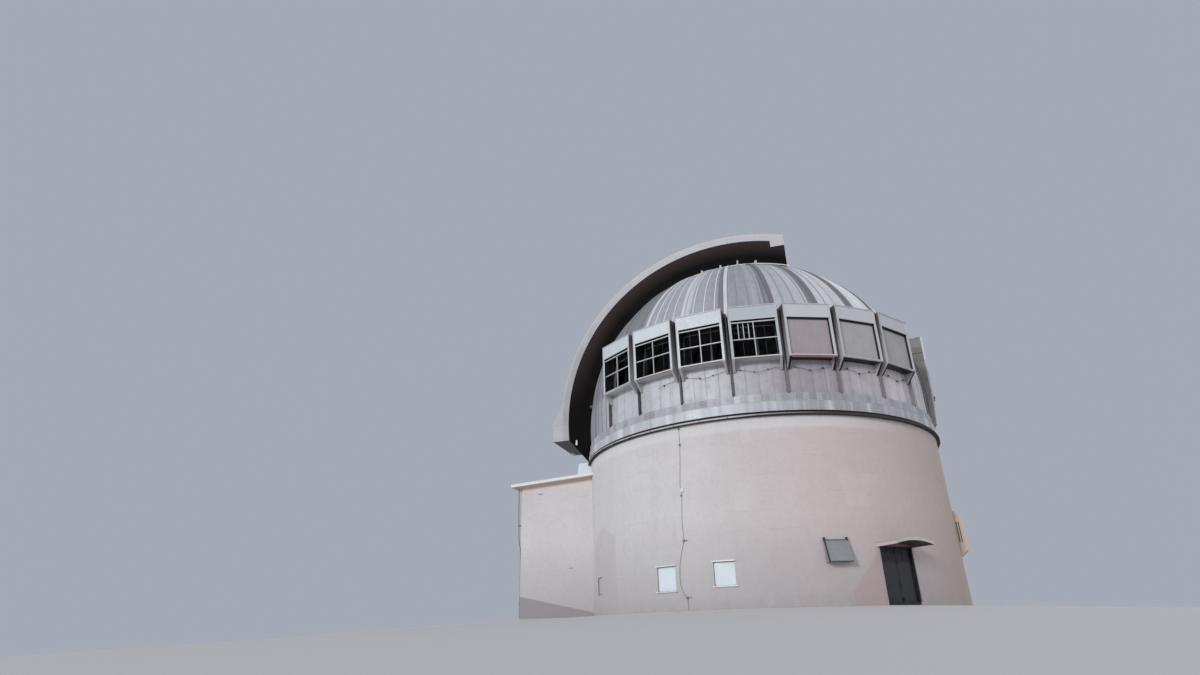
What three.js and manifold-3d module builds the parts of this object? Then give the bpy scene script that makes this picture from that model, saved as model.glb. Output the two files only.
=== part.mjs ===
// Observatory dome: a round concrete building with an annex, and a turning steel dome with a hood shutter.
// Millimetres, +Z up. The origin is on the dome's axis at ground level, and the slit faces -X at rest.
// Bearings are degrees round the axis from -Y, growing towards +X.
import * as THREE from "three";
import { mergeVertices } from "three/addons/utils/BufferGeometryUtils.js";
import Module from "manifold-3d";

const wasm = await Module();
wasm.setup();

// Driving dimensions of the round building
const WALL_R = 15000;
const WALL_T = 400;
const WALL_TOP = 12600;
const FLOOR_R = 14580;
const FLOOR_TOP = 200;
const ROUND_STEPS = 72;
const GAP = 0.3;
const RUNNING_GAP = 0.5;

// Curb ring on the wall and the track that the dome turns on
const CURB_R = 15245;
const CURB_TOP = 12840;
const TRACK_TOP = 12890;
const TRACK_R = [14740, 14900];

// Dome shell: a short drum under a half sphere
const DOME_R = 14850;
const DOME_T = 250;
const DOME_Z = 16245;
const SKIRT_R = 15096;
const SKIRT_STEP = 13695;
const SKIRT_UPPER_R = 15000;
const SKIRT_TOP = 14025;
const SKIRT_IN_R = 14600;
const BELT_TOP = 22000;
const CAP_SPLIT_X = 200;
const RISE_STEPS = 10;
const RISE_STEP = 90 / RISE_STEPS;
const BEYOND = 20000;

// Ribs on every hour line of the shell, and the deeper fins between the vents
const RIB_PITCH = 15;
const RIB_WIDTH = 300;
const RIB_PROUD = 90;
const RIB_LAST = 75;
const RIB_TOP_ANGLE = 72;
const RIB_ROOT = 125;
const RIB_END_Y = 3010;
const FIN_SPAN = [-45, 60];
const FIN_WIDTH = 120;
const FIN_OUT_R = 15090;
const FIN_Z = [14100, 20900];
const FIN_CHAMFER = 500;
const FIN_ROOT = 1200;

// Slit, its sill and the rails beside it
const SLIT_HALF = 2500;
const SLIT_REAR_X = 4000;
const SILL_TOP = 15000;
const RAIL_Y = [2850, 2980];
const RAIL_R = 14760;
const RAIL_SPAN = [-5, 185];
const RAIL_STEP = 5;
const RAIL_ROOT = 200;

// Vent boxes, seven on each side of the slit
const VENT_FIRST = -37.5;
const VENT_COUNT = 7;
const VENTS_OPEN = 4;
const VENT_HALF = 1790;
const VENT_FACE_R = 15571;
const VENT_BACK_R = 13600;
const VENT_JAMB = 170;
const VENT_CHEEK_FOOT = 16100;
const VENT_CHEEK_PROUD = 40;
const VENT_CUT = [12800, 15671];
const VENT_SILL = [16860, 17040];
const VENT_HEAD = [19980, 21120];
const SHUTTER_SET_BACK = 170;
const SHUTTER_T = 60;

// Rear box opposite the slit
const REAR_HALF = 2450;
const REAR_OUTLINE = [
  [13000, SKIRT_TOP], [15130, SKIRT_TOP], [15330, 16300], [15460, 21850], [13000, 21850],
];

// Hood shutter: its arch is drawn round a point above the dome's centre
const HOOD_X = -180;
const HOOD_Z = 17330;
const HOOD_IN_R = 16860;
const HOOD_OUT_R = 17610;
const HOOD_WALL_Y = [2660, 2810];
const HOOD_BEAM_Y = [2560, 2900];
const HOOD_SKIN_R = [17180, 17460];
const HOOD_REAR_X = 5200;
const HOOD_TAB = [3900, 33000];
const HOOD_LIP_TOP = 19400;
const HOOD_LIP_X = -18600;
const HOOD_LIP_KNEE = 17490;
const HOOD_LIP_FOOT = 15740;
const HOOD_BOTTOM_T = 200;
const HOOD_INNER_X = -16970;
const HOOD_HEEL = [-15120, 13560];
const HOOD_FOOT_R = 14700;
const HOOD_STEP = 6;
const ROLLER_R = 150;
const ROLLER_SIDES = 12;
const ROLLER_ANGLES = [10, 35, 60, 80, 90, 100];
const ROLLER_Y = [2800, 2960];

// Entrance
const DOOR_BEARING = 38.6;
const DOOR_HALF = 1350;
const DOOR_TOP = 3650;
const DOOR_FRAME = 100;
const DOOR_FRAME_V = [14700, 14840];
const SILL_V = [14450, 14925];
const PANE_V = [14760, 14780];
const TRANSOM_Z = [2720, 2800];
const LEAF_T = 50;
const LEAF_Z = [210, 2710];
const LEAF_AXIS_U = 1210;
const LEAF_HEEL = 20;
const LEAF_MEETING = 5;
const LEAF_V = 14770;
const PIVOT_R = 12;
const PIVOT_ROOT = 20;
const PIVOT_SIDES = 12;
const CANOPY_HALF = 1580;
const CANOPY_REACH = 1750;
const CANOPY_CROWN = 3855;
const CANOPY_T = 190;
const CANOPY_BEND_R = 5220;
const CANOPY_FACETS = 12;

// Fittings on the round wall; each panel closes a hole and lies set back in it
const LOUVRE_HOOD = { bearing: 21.5, half: 800, z: [2610, 4065], top: 160, foot: 620 };
const PANEL_T = 60;
const WALL_PANELS = [
  { name: "window_shutter_west", bearing: -23.4, half: 770, z: [1275, 2895], setBack: 280 },
  { name: "window_shutter_east", bearing: -6.8, half: 730, z: [1440, 2955], setBack: 280 },
  { name: "wall_hatch", bearing: -56, half: 520, z: [1525, 2775], setBack: 60 },
];
const SIDE_BAY = { bearing: 82, half: 1200, z: [3600, 6900], top: 540, foot: 520, fall: 480, lift: 420 };
const CONDUIT = { bearing: -17.4, half: 35, z: [1275, 12500], top: 70, foot: 70 };

// Annex behind the slit side
const ANNEX_HALF = 5900;
const ANNEX_X = -20400;
const ANNEX_T = 300;
const ANNEX_TOP = 10940;
const ANNEX_RISE = 0.064;
const ANNEX_ROOF_T = 250;
const ANNEX_EAVES = 750;
const ANNEX_REACH = -12000;
const ROOF_BOX = { x: -15500, y: [-5200, -3500], h: 1650, lean: 280 };

// How the round wall is split: five plain segments and the pieces beside and over the doorway
const DOOR_SEGMENT = 45;
const PLAIN_SEGMENTS = 5;
const SEGMENT_STEPS = 12;
const DOOR_SIDE_STEPS = 4;
const DOOR_OVER_STEPS = 2;

const rad = THREE.MathUtils.degToRad;

function paint(color, roughness, metalness) {
  return new THREE.MeshStandardMaterial({ color, roughness, metalness });
}

const PAINT = {
  wall: paint(0xc9c4c4, 0.9, 0),
  floor: paint(0x8f8c88, 0.9, 0),
  annex: paint(0xcbc8c9, 0.9, 0),
  roof: paint(0xd6d2d0, 0.85, 0),
  curb: paint(0xb9bcbd, 0.5, 0.6),
  skin: paint(0xa9abac, 0.45, 0.7),
  vent: paint(0xd2d6da, 0.5, 0.4),
  closed: paint(0x968d8f, 0.6, 0.2),
  hood: paint(0xb2b5b8, 0.5, 0.4),
  dark: paint(0x222224, 0.7, 0.2),
  door: paint(0x2a2b2d, 0.4, 0.3),
  frame: paint(0xb9a9a5, 0.7, 0.1),
  panel: paint(0xe4e6e6, 0.6, 0.1),
  sheet: paint(0x9a9ea1, 0.5, 0.5),
};

const part = new THREE.Group();

// A closed geometry as a solid that can be joined and cut
function solid(geometry) {
  const bare = geometry.clone();
  bare.deleteAttribute("normal");
  bare.deleteAttribute("uv");
  const merged = mergeVertices(bare, 1e-3);
  return new wasm.Manifold(
    new wasm.Mesh({
      numProp: 3,
      vertProperties: new Float32Array(merged.attributes.position.array),
      triVerts: new Uint32Array(merged.index.array),
    }),
  );
}

function geometryOf(shape) {
  const made = shape.getMesh();
  const points = new Float32Array(made.numVert * 3);
  for (let i = 0; i < made.numVert; i++) {
    points.set(made.vertProperties.subarray(i * made.numProp, i * made.numProp + 3), i * 3);
  }
  const geometry = new THREE.BufferGeometry();
  geometry.setAttribute("position", new THREE.BufferAttribute(points, 3));
  geometry.setIndex(new THREE.BufferAttribute(new Uint32Array(made.triVerts), 1));
  geometry.computeVertexNormals();
  return geometry;
}

function add(name, shape, material) {
  const geometry = shape.isBufferGeometry ? shape : geometryOf(shape);
  const mesh = new THREE.Mesh(geometry, material);
  mesh.name = name;
  part.add(mesh);
  return mesh;
}

function box(x, y, z) {
  const geometry = new THREE.BoxGeometry(x[1] - x[0], y[1] - y[0], z[1] - z[0]);
  return geometry.translate((x[0] + x[1]) / 2, (y[0] + y[1]) / 2, (z[0] + z[1]) / 2);
}

// A ring or dome turned round the axis from a closed outline of [radius, height]
function turned(outline) {
  const points = outline.map(([r, z]) => new THREE.Vector2(r, z));
  const closed = [...points, points[0].clone()];
  return new THREE.LatheGeometry(closed, ROUND_STEPS).rotateX(Math.PI / 2);
}

function shapeOf(points) {
  return new THREE.Shape(points.map(([a, b]) => new THREE.Vector2(a, b)));
}

function rectangle(a, b) {
  return [[a[0], b[0]], [a[1], b[0]], [a[1], b[1]], [a[0], b[1]]];
}

// A plan outline raised from one height to another
function raised(points, z) {
  const geometry = new THREE.ExtrudeGeometry(shapeOf(points), { depth: z[1] - z[0], bevelEnabled: false });
  return geometry.translate(0, 0, z[0]);
}

// A side view outline of [x, z] points made as wide as the given y range
function sideways(points, y) {
  const geometry = new THREE.ExtrudeGeometry(shapeOf(points), { depth: y[1] - y[0], bevelEnabled: false });
  return geometry.rotateX(Math.PI / 2).translate(0, y[1], 0);
}

// A side view outline of [radius, height] points, as wide as 2 x half, stood at a bearing
function radial(points, half, bearing) {
  return sideways(points, [-half, half]).rotateZ(rad(bearing - 90));
}

function bearingPoint(r, bearing) {
  return [r * Math.sin(rad(bearing)), -r * Math.cos(rad(bearing))];
}

function arc(r, from, to, steps) {
  const list = [];
  for (let i = 0; i <= steps; i++) list.push(bearingPoint(r, from + ((to - from) * i) / steps));
  return list;
}

// Points of a circle in a side view; the angle grows from -X over the top to +X
function arch(cx, cz, r, from, to, step) {
  const steps = Math.max(1, Math.round(Math.abs(to - from) / step));
  const list = [];
  for (let i = 0; i <= steps; i++) {
    const a = rad(from + ((to - from) * i) / steps);
    list.push([cx - r * Math.cos(a), cz + r * Math.sin(a)]);
  }
  return list;
}

// Bearings of the corners of the plain wall segment with this number
function segmentSpan(i) {
  const start = DOOR_BEARING + DOOR_SEGMENT / 2;
  const sweep = (360 - DOOR_SEGMENT) / PLAIN_SEGMENTS;
  return [start + i * sweep, start + (i + 1) * sweep];
}

function doorTurn(r) {
  return THREE.MathUtils.radToDeg(Math.asin(DOOR_HALF / r));
}

// The round wall's outer face as one solid block, grown by the gap that fittings keep to it
function wallBody() {
  const r = WALL_R + GAP;
  const edge = DOOR_SEGMENT / 2;
  const turn = doorTurn(WALL_R);
  const corners = [
    ...arc(r, DOOR_BEARING - edge, DOOR_BEARING - turn, DOOR_SIDE_STEPS),
    ...arc(r, DOOR_BEARING - turn, DOOR_BEARING + turn, DOOR_OVER_STEPS).slice(1),
    ...arc(r, DOOR_BEARING + turn, DOOR_BEARING + edge, DOOR_SIDE_STEPS).slice(1),
  ];
  for (let i = 0; i < PLAIN_SEGMENTS; i++) {
    corners.push(...arc(r, ...segmentSpan(i), SEGMENT_STEPS).slice(1));
  }
  corners.pop();
  return solid(raised(corners, [-1, WALL_TOP]));
}

// A plate that closes its hole in the wall
function wallPanel({ bearing, half, z, setBack }) {
  const face = WALL_R - setBack;
  const sheet = rectangle([face - PANEL_T, face], [z[0] + GAP, z[1] - GAP]);
  return radial(sheet, half - GAP, bearing);
}

// A fitting on the round wall that stands out by top at its head and by foot at its foot; its head
// may fall and its underside lift on the way out
function wallHood({ bearing, half, z, top, foot, fall = 0, lift = 0 }) {
  const back = WALL_R - WALL_T;
  const outline = [
    [back, z[0]], [WALL_R, z[0]], [WALL_R + foot, z[0] + lift], [WALL_R + top, z[1] - fall],
    [WALL_R, z[1]], [back, z[1]],
  ];
  return solid(radial(outline, half, bearing)).subtract(wallBody());
}

// A full disc of one height range, with its corners on the same bearings as the turned rings
function disc(r, z) {
  return raised(arc(r, 0, 360, ROUND_STEPS).slice(0, -1), z);
}

// The hole through the wall round a panel
function panelHole({ bearing, half, z }) {
  const reach = [WALL_R - 2 * WALL_T, WALL_R + WALL_T];
  return solid(radial(rectangle(reach, z), half, bearing));
}

// The round building
function addBuilding() {
  add("floor_slab", disc(FLOOR_R, [0, FLOOR_TOP]), PAINT.floor);
  for (let i = 0; i < PLAIN_SEGMENTS; i++) {
    const [from, to] = segmentSpan(i);
    const outer = arc(WALL_R, from, to, SEGMENT_STEPS);
    const inner = arc(WALL_R - WALL_T, to, from, SEGMENT_STEPS);
    let segment = solid(raised([...outer, ...inner], [0, WALL_TOP]));
    for (const panel of WALL_PANELS) segment = segment.subtract(panelHole(panel));
    add(`wall_segment_${i + 1}`, segment, PAINT.wall);
  }
  addDoorWalls();
  const curb = [
    [SKIRT_IN_R, WALL_TOP], [CURB_R, WALL_TOP], [CURB_R, CURB_TOP], [TRACK_R[1], CURB_TOP],
    [TRACK_R[1], TRACK_TOP], [TRACK_R[0], TRACK_TOP], [TRACK_R[0], CURB_TOP], [SKIRT_IN_R, CURB_TOP],
  ];
  add("curb_ring", turned(curb), PAINT.curb);
}

// The wall beside and over the doorway
function addDoorWalls() {
  const inner = WALL_R - WALL_T;
  const edge = DOOR_SEGMENT / 2;
  const out = doorTurn(WALL_R);
  const back = doorTurn(inner);
  const left = [...arc(WALL_R, -edge, -out, DOOR_SIDE_STEPS), ...arc(inner, -back, -edge, DOOR_SIDE_STEPS)];
  const right = [...arc(WALL_R, out, edge, DOOR_SIDE_STEPS), ...arc(inner, edge, back, DOOR_SIDE_STEPS)];
  const over = [...arc(WALL_R, -out, out, DOOR_OVER_STEPS), ...arc(inner, back, -back, DOOR_OVER_STEPS)];
  addAtDoor("wall_left_of_door", raised(left, [0, WALL_TOP]), PAINT.wall);
  addAtDoor("wall_right_of_door", raised(right, [0, WALL_TOP]), PAINT.wall);
  addAtDoor("wall_over_door", raised(over, [DOOR_TOP, WALL_TOP]), PAINT.wall);
}

// Everything of the entrance is drawn for a door at bearing 0 and turned to its place
function addAtDoor(name, shape, material) {
  add(name, shape, material).rotation.z = rad(DOOR_BEARING);
}

// A box by its sideways range, its range of distance from the axis and its heights
function doorBox(u, v, z) {
  return solid(box(u, [-v[1], -v[0]], z));
}

// Frame with its transom pane, and the sill that fills the doorway's floor
function addDoorFrame() {
  const w = DOOR_HALF - GAP;
  const hole = w - DOOR_FRAME;
  const [inner, outer] = DOOR_FRAME_V;
  const paneZ = [TRANSOM_Z[1], DOOR_TOP - DOOR_FRAME];
  const floor = solid(disc(FLOOR_R + GAP, [-1, FLOOR_TOP + 1]).rotateZ(-rad(DOOR_BEARING)));
  const sill = doorBox([-w, w], SILL_V, [0, FLOOR_TOP]).subtract(floor);
  const frame = doorBox([-w, w], DOOR_FRAME_V, [0, DOOR_TOP - GAP])
    .subtract(doorBox([-hole, hole], [inner - 1, outer + 1], [FLOOR_TOP, TRANSOM_Z[0]]))
    .subtract(doorBox([-hole, hole], [PANE_V[1], outer + 1], paneZ))
    .subtract(doorBox([-hole, hole], [inner - 1, PANE_V[0]], paneZ));
  addAtDoor("door_frame", frame.add(sill), PAINT.frame);
}

// A leaf with the pin that it turns on, which ends just over the sill
function addDoorLeaf(name, side) {
  const u = [side * LEAF_MEETING, side * (LEAF_AXIS_U + LEAF_HEEL)].sort((a, b) => a - b);
  const leaf = doorBox(u, [LEAF_V - LEAF_T / 2, LEAF_V + LEAF_T / 2], LEAF_Z);
  const pinFoot = FLOOR_TOP + RUNNING_GAP;
  const pinLength = LEAF_Z[0] + PIVOT_ROOT - pinFoot;
  const pin = new THREE.CylinderGeometry(PIVOT_R, PIVOT_R, pinLength, PIVOT_SIDES).rotateX(Math.PI / 2);
  pin.translate(side * LEAF_AXIS_U, -LEAF_V, pinFoot + pinLength / 2);
  addAtDoor(name, leaf.add(solid(pin)), PAINT.door);
}

function addEntrance() {
  addDoorFrame();
  addDoorLeaf("door_leaf_left", -1);
  addDoorLeaf("door_leaf_right", 1);
  addCanopy();
}

// A thin slab over the doorway, bent down towards its sides
function addCanopy() {
  const [lower, upper] = [[], []];
  for (let i = 0; i <= CANOPY_FACETS; i++) {
    const u = CANOPY_HALF * (1 - 2 * i / CANOPY_FACETS);
    const z = CANOPY_CROWN - CANOPY_BEND_R + Math.sqrt(CANOPY_BEND_R ** 2 - u ** 2);
    upper.push([u, z + CANOPY_T]);
    lower.unshift([u, z]);
  }
  const span = [-(WALL_R + CANOPY_REACH), -(WALL_R - WALL_T)];
  const bend = sideways([...lower, ...upper], span).rotateZ(rad(DOOR_BEARING));
  add("door_canopy", solid(bend).subtract(wallBody()), PAINT.roof);
}

function addWallFittings() {
  for (const panel of WALL_PANELS) add(panel.name, wallPanel(panel), PAINT.panel);
  add("louvre_hood", wallHood(LOUVRE_HOOD), PAINT.sheet);
  add("side_bay", wallHood(SIDE_BAY), PAINT.wall);
  add("wall_conduit", wallHood(CONDUIT), PAINT.frame);
}

// Height of the annex wall's top, which rises evenly towards the round wall
function annexTop(x) {
  return ANNEX_TOP + (x - ANNEX_X) * ANNEX_RISE;
}

// A side view outline from one x to another, from foot height to so far over the wall's top
function underSlope(x, foot, over) {
  return [[x[0], foot], [x[1], foot], [x[1], annexTop(x[1]) + over], [x[0], annexTop(x[0]) + over]];
}

// The annex with its sloping roof and the box on that, both cut to the round wall and its curb
function addAnnex() {
  const drum = wallBody();
  const curb = solid(disc(CURB_R + GAP, [WALL_TOP - GAP, CURB_TOP + GAP]));
  const side = underSlope([ANNEX_X, ANNEX_REACH], 0, 0);
  const end = underSlope([ANNEX_X, ANNEX_X + ANNEX_T], 0, 0);
  const inner = ANNEX_HALF - ANNEX_T;
  add("annex_front_wall", solid(sideways(side, [-ANNEX_HALF, -inner])).subtract(drum), PAINT.annex);
  add("annex_back_wall", solid(sideways(side, [inner, ANNEX_HALF])).subtract(drum), PAINT.annex);
  add("annex_end_wall", sideways(end, [-inner, inner]), PAINT.annex);
  const [low, high] = [ANNEX_X - ANNEX_EAVES, ANNEX_REACH];
  const roofHalf = ANNEX_HALF + ANNEX_EAVES;
  const outline = [
    [low, annexTop(low) + GAP], [high, annexTop(high) + GAP],
    [high, annexTop(high) + ANNEX_ROOF_T], [low, annexTop(low) + ANNEX_ROOF_T],
  ];
  const roof = solid(sideways(outline, [-roofHalf, roofHalf])).subtract(drum);
  add("annex_roof", roof, PAINT.roof);
  const boxTop = ANNEX_TOP + ANNEX_ROOF_T + ROOF_BOX.h;
  const boxSide = [
    [ROOF_BOX.x, ANNEX_TOP], [ANNEX_REACH, ANNEX_TOP],
    [ANNEX_REACH, boxTop], [ROOF_BOX.x + ROOF_BOX.lean, boxTop],
  ];
  const plant = solid(sideways(boxSide, ROOF_BOX.y));
  const below = solid(sideways(underSlope([low, high], 0, ANNEX_ROOF_T + GAP), [-roofHalf, roofHalf]));
  add("roof_box", plant.subtract(below).subtract(drum).subtract(curb), PAINT.panel);
}

// The whole body of drum and half sphere, grown by a margin or shrunk to the shell's inside
function domeBody(margin) {
  const r = DOME_R + margin;
  const foot = SKIRT_TOP - 1000;
  const outline = [[0, foot], [r, foot]];
  for (let i = 0; i <= RISE_STEPS; i++) {
    const a = (Math.PI / 2) * (i / RISE_STEPS);
    outline.push([i === RISE_STEPS ? 0 : r * Math.cos(a), DOME_Z + r * Math.sin(a)]);
  }
  const points = outline.map(([x, z]) => new THREE.Vector2(x, z));
  return solid(new THREE.LatheGeometry(points, ROUND_STEPS).rotateX(Math.PI / 2));
}

// One rib over the shell along an hour line, grown by a margin
function rib(bearing, margin = 0) {
  const crown = DOME_R + RIB_PROUD + margin;
  const root = DOME_R - RIB_ROOT;
  const flip = ([x, z]) => [-x, z];
  const outline = [
    [root, SKIRT_TOP], [crown, SKIRT_TOP],
    ...arch(0, DOME_Z, crown, 0, RIB_TOP_ANGLE, RISE_STEP).map(flip),
    ...arch(0, DOME_Z, root, RIB_TOP_ANGLE, 0, RISE_STEP).map(flip),
  ];
  return solid(radial(outline, RIB_WIDTH / 2 + margin, bearing));
}

// The deep fin between two vent boxes, grown by a margin
function fin(bearing, margin = 0) {
  const root = DOME_R - FIN_ROOT;
  const outline = [
    [root, FIN_Z[0]], [DOME_R + RIB_PROUD, FIN_Z[0]], [FIN_OUT_R + margin, FIN_Z[0] + FIN_CHAMFER],
    [FIN_OUT_R + margin, FIN_Z[1] + margin], [root, FIN_Z[1] + margin],
  ];
  return solid(radial(outline, FIN_WIDTH / 2 + margin, bearing));
}

// A rail beside the slit, from below its sill over the top to the rear
function rail(side) {
  const outer = arch(0, DOME_Z, RAIL_R, RAIL_SPAN[0], RAIL_SPAN[1], RAIL_STEP);
  const inner = arch(0, DOME_Z, DOME_R - DOME_T - RAIL_ROOT, RAIL_SPAN[1], RAIL_SPAN[0], RAIL_STEP);
  const y = side < 0 ? [-RAIL_Y[1], -RAIL_Y[0]] : RAIL_Y;
  return solid(sideways([...outer, ...inner], y));
}

function ventOutline() {
  return [
    [VENT_BACK_R, VENT_CHEEK_FOOT], [DOME_R + VENT_CHEEK_PROUD, VENT_CHEEK_FOOT], [VENT_FACE_R, VENT_SILL[0]],
    [VENT_FACE_R, VENT_HEAD[1]], [VENT_BACK_R, VENT_HEAD[1]],
  ];
}

// The clear hole of a vent, long enough to cut the shell behind it too
function ventHole(bearing) {
  const outline = rectangle(VENT_CUT, [VENT_SILL[1], VENT_HEAD[0]]);
  return solid(radial(outline, VENT_HALF - VENT_JAMB, bearing));
}

function ventBearings(side) {
  const list = [];
  for (let i = 0; i < VENT_COUNT; i++) {
    const near = VENT_FIRST + i * RIB_PITCH;
    list.push(side < 0 ? near : 180 - near);
  }
  return list;
}

function ribsBeside(bearing) {
  const [a, b] = [bearing - RIB_PITCH / 2, bearing + RIB_PITCH / 2];
  return rib(a, GAP).add(rib(b, GAP)).add(fin(a, GAP)).add(fin(b, GAP));
}

// The boxes round the vents, and the sheets that close the last of them
function addVents(label, side, body) {
  const clear = VENT_HALF - VENT_JAMB;
  const face = VENT_FACE_R - SHUTTER_SET_BACK;
  const sheet = rectangle([face - SHUTTER_T, face], [VENT_SILL[1], VENT_HEAD[0] - GAP]);
  ventBearings(side).forEach((bearing, i) => {
    const under = radial(rectangle(VENT_CUT, [SKIRT_TOP, VENT_SILL[0]]), clear, bearing);
    const frame = solid(radial(ventOutline(), VENT_HALF, bearing))
      .subtract(solid(under))
      .subtract(ventHole(bearing))
      .subtract(body)
      .subtract(ribsBeside(bearing));
    add(`vent_${label}_${i + 1}`, frame, PAINT.vent);
    if (i < VENTS_OPEN) return;
    add(`vent_shutter_${label}_${i + 1}`, radial(sheet, clear - GAP, bearing), PAINT.closed);
  });
}

// One side of the shell with its ribs, fins and rail, before it is cut to its ends
function dressedSide(side, hollow) {
  const ribY = side < 0 ? [-BEYOND, -RIB_END_Y] : [RIB_END_Y, BEYOND];
  const ribSpace = solid(box([-BEYOND, BEYOND], ribY, [SKIRT_TOP, 2 * BEYOND]));
  let dressed = domeBody(0);
  for (let b = -RIB_LAST; b <= RIB_LAST; b += RIB_PITCH) {
    const bearing = side < 0 ? b : 180 - b;
    dressed = dressed.add(rib(bearing).intersect(ribSpace));
    if (b >= FIN_SPAN[0] && b <= FIN_SPAN[1]) dressed = dressed.add(fin(bearing));
  }
  dressed = dressed.add(rail(side)).subtract(hollow);
  for (const bearing of ventBearings(side)) dressed = dressed.subtract(ventHole(bearing));
  return dressed;
}

// The shell's sides, its caps in two halves each, and what closes the slit at its foot and at the rear
function addShell() {
  const hollow = domeBody(-DOME_T);
  for (const [label, side] of [["near", -1], ["far", 1]]) {
    const dressed = dressedSide(side, hollow);
    const y = side < 0 ? [-BEYOND, -SLIT_HALF] : [SLIT_HALF, BEYOND];
    const lower = solid(box([-BEYOND, BEYOND], y, [SKIRT_TOP, BELT_TOP]));
    add(`dome_side_${label}`, dressed.intersect(lower), PAINT.skin);
    for (const [half, x] of [["front", [-BEYOND, CAP_SPLIT_X]], ["rear", [CAP_SPLIT_X, BEYOND]]]) {
      const upper = solid(box(x, y, [BELT_TOP, 2 * BEYOND]));
      add(`dome_cap_${label}_${half}`, dressed.intersect(upper), PAINT.skin);
    }
  }
  const shell = domeBody(0).subtract(hollow);
  const y = [-SLIT_HALF, SLIT_HALF];
  const rear = solid(box([SLIT_REAR_X, BEYOND], y, [SKIRT_TOP, 2 * BEYOND]));
  const sill = solid(box([-BEYOND, 0], y, [SKIRT_TOP, SILL_TOP]));
  add("dome_rear_strip", shell.intersect(rear), PAINT.skin);
  add("slit_sill", shell.intersect(sill), PAINT.skin);
}

function addDome() {
  const ring = [
    [SKIRT_IN_R, TRACK_TOP + RUNNING_GAP], [SKIRT_R, TRACK_TOP + RUNNING_GAP], [SKIRT_R, SKIRT_STEP],
    [SKIRT_UPPER_R, SKIRT_STEP], [SKIRT_UPPER_R, SKIRT_TOP], [SKIRT_IN_R, SKIRT_TOP],
  ];
  add("dome_skirt_ring", turned(ring), PAINT.skin);
  addShell();
  const body = domeBody(GAP);
  addVents("near", -1, body);
  addVents("far", 1, body);
  add("rear_box", solid(sideways(REAR_OUTLINE, [-REAR_HALF, REAR_HALF])).subtract(body), PAINT.vent);
}

// Angle on a circle of the hood's arch at which it reaches a height on the slit side
function archAngle(r, z) {
  return THREE.MathUtils.radToDeg(Math.asin((z - HOOD_Z) / r));
}

function rearAngle(r, x) {
  return 180 - THREE.MathUtils.radToDeg(Math.acos((x - HOOD_X) / r));
}

// The light beam along the edge of the hood, with the bump of its lip and the tab at its rear end
function beamOutline() {
  const outerFrom = archAngle(HOOD_OUT_R, HOOD_LIP_TOP);
  const outerTo = rearAngle(HOOD_OUT_R, HOOD_REAR_X);
  const innerFrom = rearAngle(HOOD_IN_R, HOOD_TAB[0]);
  const innerTo = archAngle(HOOD_IN_R, HOOD_LIP_FOOT);
  return [
    [HOOD_LIP_X, HOOD_LIP_KNEE],
    ...arch(HOOD_X, HOOD_Z, HOOD_OUT_R, outerFrom, outerTo, HOOD_STEP),
    [HOOD_REAR_X, HOOD_TAB[1]], HOOD_TAB,
    ...arch(HOOD_X, HOOD_Z, HOOD_IN_R, innerFrom, innerTo, HOOD_STEP),
    [HOOD_LIP_X, HOOD_LIP_FOOT],
  ];
}

// The side wall below the beam, down to just over the dome
function hoodWallOutline() {
  const r = HOOD_IN_R - GAP;
  const tabX = HOOD_TAB[0] - 1;
  const tabZ = HOOD_TAB[1] - GAP;
  const footRear = 180 - THREE.MathUtils.radToDeg(Math.acos(HOOD_REAR_X / HOOD_FOOT_R));
  return [
    HOOD_HEEL,
    ...arch(HOOD_X, HOOD_Z, r, archAngle(r, HOOD_LIP_FOOT), rearAngle(r, tabX), HOOD_STEP),
    [tabX, tabZ], [HOOD_REAR_X, tabZ],
    ...arch(0, DOME_Z, HOOD_FOOT_R, footRear, 0, HOOD_STEP),
  ];
}

// A roller with a corner of its rim towards the dome's centre, so that it meets the rail
function roller(angle, side) {
  const r = RAIL_R + RUNNING_GAP + ROLLER_R;
  const [x, z] = [-r * Math.cos(rad(angle)), DOME_Z + r * Math.sin(rad(angle))];
  const rim = [];
  for (let i = 0; i < ROLLER_SIDES; i++) {
    const b = rad(angle + (360 * i) / ROLLER_SIDES);
    rim.push([x + ROLLER_R * Math.cos(b), z - ROLLER_R * Math.sin(b)]);
  }
  const y = side < 0 ? [-ROLLER_Y[1], -ROLLER_Y[0]] : ROLLER_Y;
  return solid(sideways(rim, y));
}

// The curved sheet between the beams, with the flat plate that closes the lip below
function hoodSkinOutline() {
  const [rIn, rOut] = HOOD_SKIN_R;
  const plateTop = HOOD_LIP_FOOT + HOOD_BOTTOM_T;
  const outer = [archAngle(rOut, plateTop), rearAngle(rOut, HOOD_REAR_X)];
  const inner = [rearAngle(rIn, HOOD_REAR_X), archAngle(rIn, plateTop)];
  return [
    [HOOD_LIP_X, plateTop],
    ...arch(HOOD_X, HOOD_Z, rOut, outer[0], outer[1], HOOD_STEP),
    ...arch(HOOD_X, HOOD_Z, rIn, inner[0], inner[1], HOOD_STEP),
    [HOOD_INNER_X, plateTop], [HOOD_INNER_X, HOOD_LIP_FOOT], [HOOD_LIP_X, HOOD_LIP_FOOT],
  ];
}

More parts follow.
